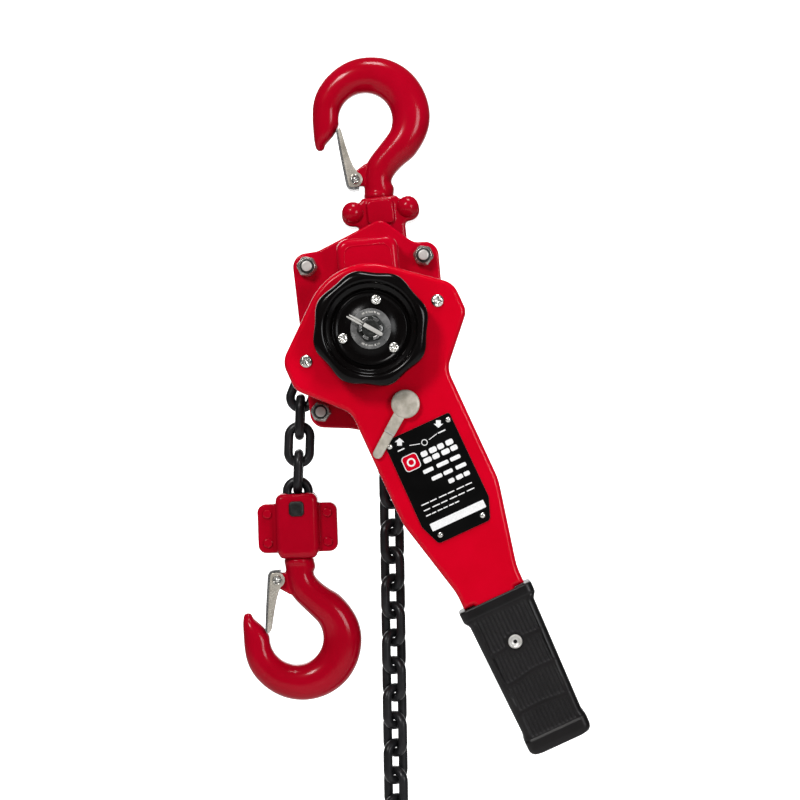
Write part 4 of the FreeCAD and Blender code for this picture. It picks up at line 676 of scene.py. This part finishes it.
def rating_plate_prints():
    """Neutral marks: a raise and a lower arrow, a neutral ring, plain bars, and a blank serial strip."""
    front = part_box("rating_plate")[0].y * 1000
    arrow = [(-1.5, -2.0), (1.5, -2.0), (1.5, 0.2), (3.0, 0.2), (0, 2.8), (-3.0, 0.2), (-1.5, 0.2)]
    flat("print_arrow_raise", turned_points(arrow, (-13.4, -71.2), -24.8), front)
    flat("print_arrow_lower", turned_points(arrow, (13.5, -70.6), 155.2), front)
    ring = lathe("print_neutral_ring", [(1.5, front + 0.1), (2.0, front + 0.1), (2.0, front - 0.04),
                                        (1.5, front - 0.04)], LEVER, "print_white", "lever", 40, (0.7, -77.7))
    ring.data.shade_smooth()
    lines = (((-8.6, -75.5), (-2.2, -77.3)), ((4.0, -77.3), (9.9, -76.0)))
    for index, (start, end) in enumerate(lines):
        along = (Vector((end[0], 0, end[1])) - Vector((start[0], 0, start[1]))).normalized()
        side = Vector((-along.z, 0, along.x)) * 0.22
        corners = [(start[0] - side.x, start[1] - side.z), (end[0] - side.x, end[1] - side.z),
                   (end[0] + side.x, end[1] + side.z), (start[0] + side.x, start[1] + side.z)]
        flat(f"print_line_{index}", corners, front)
    rows = ((-4.6, 18.0, -84.0, 3.4), (-4.8, 19.8, -88.4, 3.2), (-7.8, 19.8, -94.4, 2.5),
            (-4.8, 19.8, -100.4, 2.5), (4.0, 19.8, -106.2, 2.8), (-17.6, 18.6, -112.6, 0.7),
            (-17.6, 17.8, -116.3, 0.7), (-17.6, 6.0, -119.8, 0.7), (-16.8, -10.6, -75.8, 0.8),
            (10.6, 16.6, -76.0, 0.8))
    for index, (left, right, z, height) in enumerate(rows):
        spots = (4 if height > 3 else 3 if height > 1 else 6) if right - left > 7 else 1
        pitch = (right - left) / spots
        for spot in range(spots):
            start = left + spot * pitch
            end = start + pitch * (0.86 if (spot + index) % 2 else 0.74)
            flat(f"print_bar_{index}_{spot}", rounded_box(start, end, z - height / 2, z + height / 2,
                                                          height * 0.3, 3), front)
    flat("print_badge_rim", rounded_box(-17.2, -6.8, -90.6, -80.4, 2.4, 5), front)
    slab("print_badge", rounded_box(-16.7, -7.3, -90.1, -80.9, 2.0, 5), front + 0.1, front - 0.09, LEVER,
         "lever_paint", "lever")
    hoop = [(1.7, front + 0.1), (2.7, front + 0.1), (2.7, front - 0.12), (1.7, front - 0.12)]
    pulley = lathe("print_badge_ring", hoop, LEVER, "print_white", "lever", 40, (-12.0, -85.5))
    pulley.data.shade_smooth()
    flat("print_serial_strip", rounded_box(-17.8, 18.8, -130.2, -125.2, 0.5, 4), front)
    for index, (x, z) in enumerate(((20.0, -71.0), (-20.0, -71.0), (14.5, -134.0), (-14.5, -134.0))):
        dome = [(0, front + 0.4), (2.0, front + 0.4), (1.9, front - 0.2), (1.5, front - 0.7),
                (0.8, front - 1.0), (0, front - 1.1)]
        head = lathe(f"plate_rivet_{index}", dome, LEVER, "zinc", "lever", 40, (x, z), degrees=70)
        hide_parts("plate_rivets")


def selector():
    """The cast selector: a thick disc, and an arm that steps down a third of the way along."""
    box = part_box("selector_lever")
    front = box[0].y * 1000
    rear = box[1].y * 1000
    drum = lathe("selector_disc", [(0, rear), (3.95, rear), (3.95, front + 5.0), (8.6, front + 5.0),
                                   (8.9, front + 4.6), (8.95, front + 1.2), (8.7, front + 0.5),
                                   (8.1, front + 0.1), (7.2, front), (0, front)],
                 SELECTOR, "selector_cast", "selector", 96, degrees=30)
    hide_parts("selector_lever")
    turn = 53.8
    root = [(-3.7, -5.0), (3.7, -5.0), (3.55, -20.5), (-3.55, -20.5)]
    blade = [(-3.5, -8.0), (3.5, -8.0)] + arc((0, -35.4), 3.1, 0, -180, 12)
    parts = (("selector_arm_root", root, front + 0.9, 0.7), ("selector_arm", blade, front + 1.9, 0.9))
    for name, outline, face, bevel in parts:
        arm = slab(name, turned_points(outline, (0, 0), -turn), front + 4.8, face, SELECTOR, "selector_cast",
                   "selector", bevel, 4)
        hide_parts("selector_lever")
    # Painted highlight: a thin strip of lighter satin zinc along the arm's step stands for the light the step
    # catches.
    slab("selector_step_highlight", turned_points(rounded_box(-3.4, 3.4, -21.0, -20.2, 0.3), (0, 0), -turn),
         front + 2.4, front + 0.7, SELECTOR, "satin_zinc", "selector", 0.2, 2)


# ---------------------------------------------------------------- grip

GRIP_START = 183.5
GRIP_END = 284.0


def smooth_step(low, high, amount):
    share = min(1.0, max(0.0, (amount - low) / (high - low)))
    return share * share * (3 - 2 * share)


def grip_half_width(u):
    collar = 2.4 * (1 - smooth_step(190.0, 195.0, u))
    foot = 1.2 * smooth_step(268.5, 274.5, u)
    return 22.1 - 0.026 * (u - 190) + collar + foot


def grip_relief(x, u):
    """How far the grip's face stands out at a place: ribbed panels with smooth wavy borders between them."""
    collar = 0.9 * (1 - smooth_step(189.4, 190.6, u))
    foot = 0.9 * smooth_step(273.2, 274.6, u)
    edge = grip_half_width(u) - 4.0
    inside = smooth_step(191.4, 192.8, u) * (1 - smooth_step(271.2, 272.8, u))
    inside *= 1 - smooth_step(edge - 0.5, edge, abs(x))
    groove = 0.0
    for middle, drift in ((214.2, 1.3), (235.0, 1.2), (255.2, -0.4)):
        border = middle - drift * math.tanh(x / 7.0) - 0.5 * math.cos(x / 5.2)
        near = abs(u - border)
        inside *= smooth_step(0.9, 2.2, near)
        groove = max(groove, 1 - smooth_step(0.2, 0.9, near))
    around_screw = math.hypot(x, u - 213.7)
    inside *= smooth_step(6.0, 7.4, around_screw)
    rib = 0.5 + 0.5 * math.cos(2 * math.pi * x / 2.6)
    rail = 0.35 * smooth_step(edge, edge + 0.8, abs(x)) if 191 < u < 273 else 0.0
    return collar + foot + rail - 0.8 * inside * (1 - rib) - 0.15 * groove * (around_screw > 6.5)


def grip():
    """The moulded grip, drawn as sections down its length."""
    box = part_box("lever_grip")
    middle = 0.5 * (box[0].y + box[1].y) * 1000
    half = 0.5 * (box[1].y - box[0].y) * 1000 - 0.95
    rows, verts = [], []
    u = GRIP_START
    while u < GRIP_END:
        rows.append(u)
        u += 0.5
    rows.append(GRIP_END)
    face_steps, corner_steps = 120, 8
    for u in rows:
        close = min(u - GRIP_START, 1.6) / 1.6
        final = min(GRIP_END - u, 5.0) / 5.0
        trim = 1.2 * (1 - math.sqrt(max(0.0, 1 - (1 - close) ** 2)))
        trim += 4.4 * (1 - math.sqrt(max(0.0, 1 - (1 - final) ** 2)))
        width = grip_half_width(u) - trim
        corner = 4.6
        face = half - trim * 0.5 + grip_relief(width, u)
        ring = []
        for side in (-1, 1):
            for step in range(face_steps + 1):
                x = side * (-(width - corner) + 2 * (width - corner) * step / face_steps)
                relief = grip_relief(x, u)
                ring.append((x, middle + side * (half - trim * 0.5 + relief), -u))
            for step in range(1, corner_steps):
                angle = math.radians(90 * step / corner_steps)
                ring.append((side * (width - corner + corner * math.sin(angle)),
                             middle + side * (face - corner * (1 - math.cos(angle))), -u))
            for step in range(corner_steps):
                angle = math.radians(90 * step / corner_steps)
                ring.append((side * (width - corner + corner * math.cos(angle)),
                             middle - side * (face - corner * (1 - math.sin(angle))), -u))
        verts += ring
    columns = len(verts) // len(rows)
    faces = grid_faces(len(rows), columns)
    faces.append(tuple(range(columns)))
    faces.append(tuple(range(len(verts) - columns, len(verts))))
    moulded = piece("grip_moulded", verts, faces, LEVER, "grip_rubber", "lever", 45)
    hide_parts("lever_grip")


# ---------------------------------------------------------------- latches and their springs

LATCH_PIN = (-10.9, 38.7)
LATCH_HALF = 7.9
LATCH_SHEET = 1.2


def hook_group_point(prefix, x, z):
    """The top hook hangs shank down, so its group is the bottom hook's turned over."""
    return (x, -z) if prefix == "top" else (x, z)


def latch(prefix, place):
    """A latch folded from sheet: two cheeks, a back web, ringed rivet heads, and a torsion spring inside."""
    body = prefix + "_latch"
    pin_x, pin_z = LATCH_PIN
    eye = arc((pin_x, pin_z), 4.9, -62, 100, 14)
    cheek = eye + [(pin_x - 3.4, pin_z + 4.6), (-15.4, 42.0), (-15.6, 40.0), (-17.3, 22.0), (-18.7, 6.2),
                   (-18.4, 4.4), (-17.2, 4.2), (-16.4, 6.0), (-14.6, 16.0), (-12.9, 24.0), (-11.2, 29.6)]
    web = [(-8.6, 45.4), (-12.6, 45.4), (-15.4, 44.6), (-16.9, 42.4), (-17.2, 40.0), (-18.8, 22.0),
           (-19.9, 6.2), (-18.9, 4.4), (-18.2, 6.0), (-16.9, 22.0), (-15.2, 40.0), (-14.8, 42.0),
           (-12.4, 43.6), (-8.6, 43.8)]
    shapes = [("cheek_front", cheek, -LATCH_HALF + LATCH_SHEET, -LATCH_HALF, 0.3),
              ("cheek_rear", cheek, LATCH_HALF - LATCH_SHEET, LATCH_HALF, 0.3),
              ("web", web, LATCH_HALF - 0.2, -LATCH_HALF + 0.2, 0.0)]
    for name, outline, back, front, bevel in shapes:
        points = [hook_group_point(prefix, x, z) for x, z in outline]
        # Painted shade: the web takes the darker machined finish while the cheeks of the same folded sheet
        # stay lighter.
        shade = "machined" if name == "web" else "latch_steel"
        sheet = slab(f"{prefix}_latch_{name}", points, back, front, place, shade, body, bevel, 2, 40)
        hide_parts(prefix + "_latch")
    centre = hook_group_point(prefix, pin_x, pin_z)
    for side in (-1, 1):
        seat = side * LATCH_HALF
        profile = [(0, seat - side * 0.3), (3.3, seat - side * 0.3), (3.3, seat + side * 0.5),
                   (2.9, seat + side * 1.0), (2.4, seat + side * 1.05), (2.0, seat + side * 0.5),
                   (1.3, seat + side * 0.45), (0.9, seat + side * 0.8), (0, seat + side * 0.85)]
        head = lathe(f"{prefix}_latch_rivet_{(side + 1) // 2}", profile, place, "zinc", prefix + "_hook", 56,
                     centre, degrees=40)
        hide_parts(prefix + "_latch_pin")
        coil = []
        for step in range(2 * 16 + 1):
            angle = 2 * math.pi * step / 16 + 0.6
            x, z = pin_x + 2.7 * math.cos(angle), pin_z + 2.7 * math.sin(angle)
            x, z = hook_group_point(prefix, x, z)
            coil.append((x, side * (4.95 + 0.035 * step), z))
        leg_x, leg_z = hook_group_point(prefix, pin_x - 5.6, pin_z - 10.0)
        coil.append((leg_x, side * 6.1, leg_z))
        wire(f"{prefix}_latch_spring_{(side + 1) // 2}", coil, 0.42, place, "zinc", body, 8)
    pin = lathe(f"{prefix}_latch_rivet_stem", [(0, LATCH_HALF), (1.85, LATCH_HALF), (1.85, -LATCH_HALF),
                                               (0, -LATCH_HALF)], place, "zinc", prefix + "_hook", 32, centre)
    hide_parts(prefix + "_latch_pin")


# ---------------------------------------------------------------- forgings and the bottom pin

def forgings():
    """Hooks and yokes with the soft edges of forgings and thick enamel."""
    for node, voxel, rounds, body in (
            ("top_hook", 0.7, 6, "top_hook"), ("bottom_hook", 0.7, 6, "bottom_hook"),
            ("top_yoke", 0.6, 6, "yoke"), ("top_yoke_rivets", 0.6, 4, "yoke"),
            ("bottom_yoke_front", 0.55, 5, "bottom_block"), ("bottom_yoke_rear", 0.55, 5, "bottom_block"),
            ("bottom_yoke_rivets", 0.4, 2, "bottom_block")):
        forged(node, voxel, rounds, "hook_paint", body)


def chain_pin_heads():
    """Square-shouldered riveted heads on both ends of the pin that carries the chain."""
    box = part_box("chain_pin")
    centre = ((box[0].x + box[1].x) / 2, 0, (box[0].z + box[1].z) / 2)
    place = group(centre, JOINTS["bottom_hook_swivel"]["axis"])
    half = (box[1].y - box[0].y) * 500
    stem = lathe("chain_pin_stem", [(0, half), (3.35, half), (3.35, -half), (0, -half)], place, "dark_steel",
                 "bottom_block", 40)
    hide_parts("chain_pin")
    for side in (-1, 1):
        head = slab(f"chain_pin_head_{(side + 1) // 2}", rounded_box(-4.9, 4.9, -4.9, 4.9, 2.6, 6),
                    side * (half - 0.1), side * (half + 1.9), place, "dark_steel", "bottom_block", 1.2, 4)
        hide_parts("chain_pin")


camera_and_light()
stage()
dress_frame()
handwheel()
shaft_end()
stay_nuts()
hump_crease()
lever_screws()
rating_plate_prints()
selector()
grip()
latch("top", TOP_HOOK)
latch("bottom", BOTTOM_HOOK)
forgings()
chain_pin_heads()
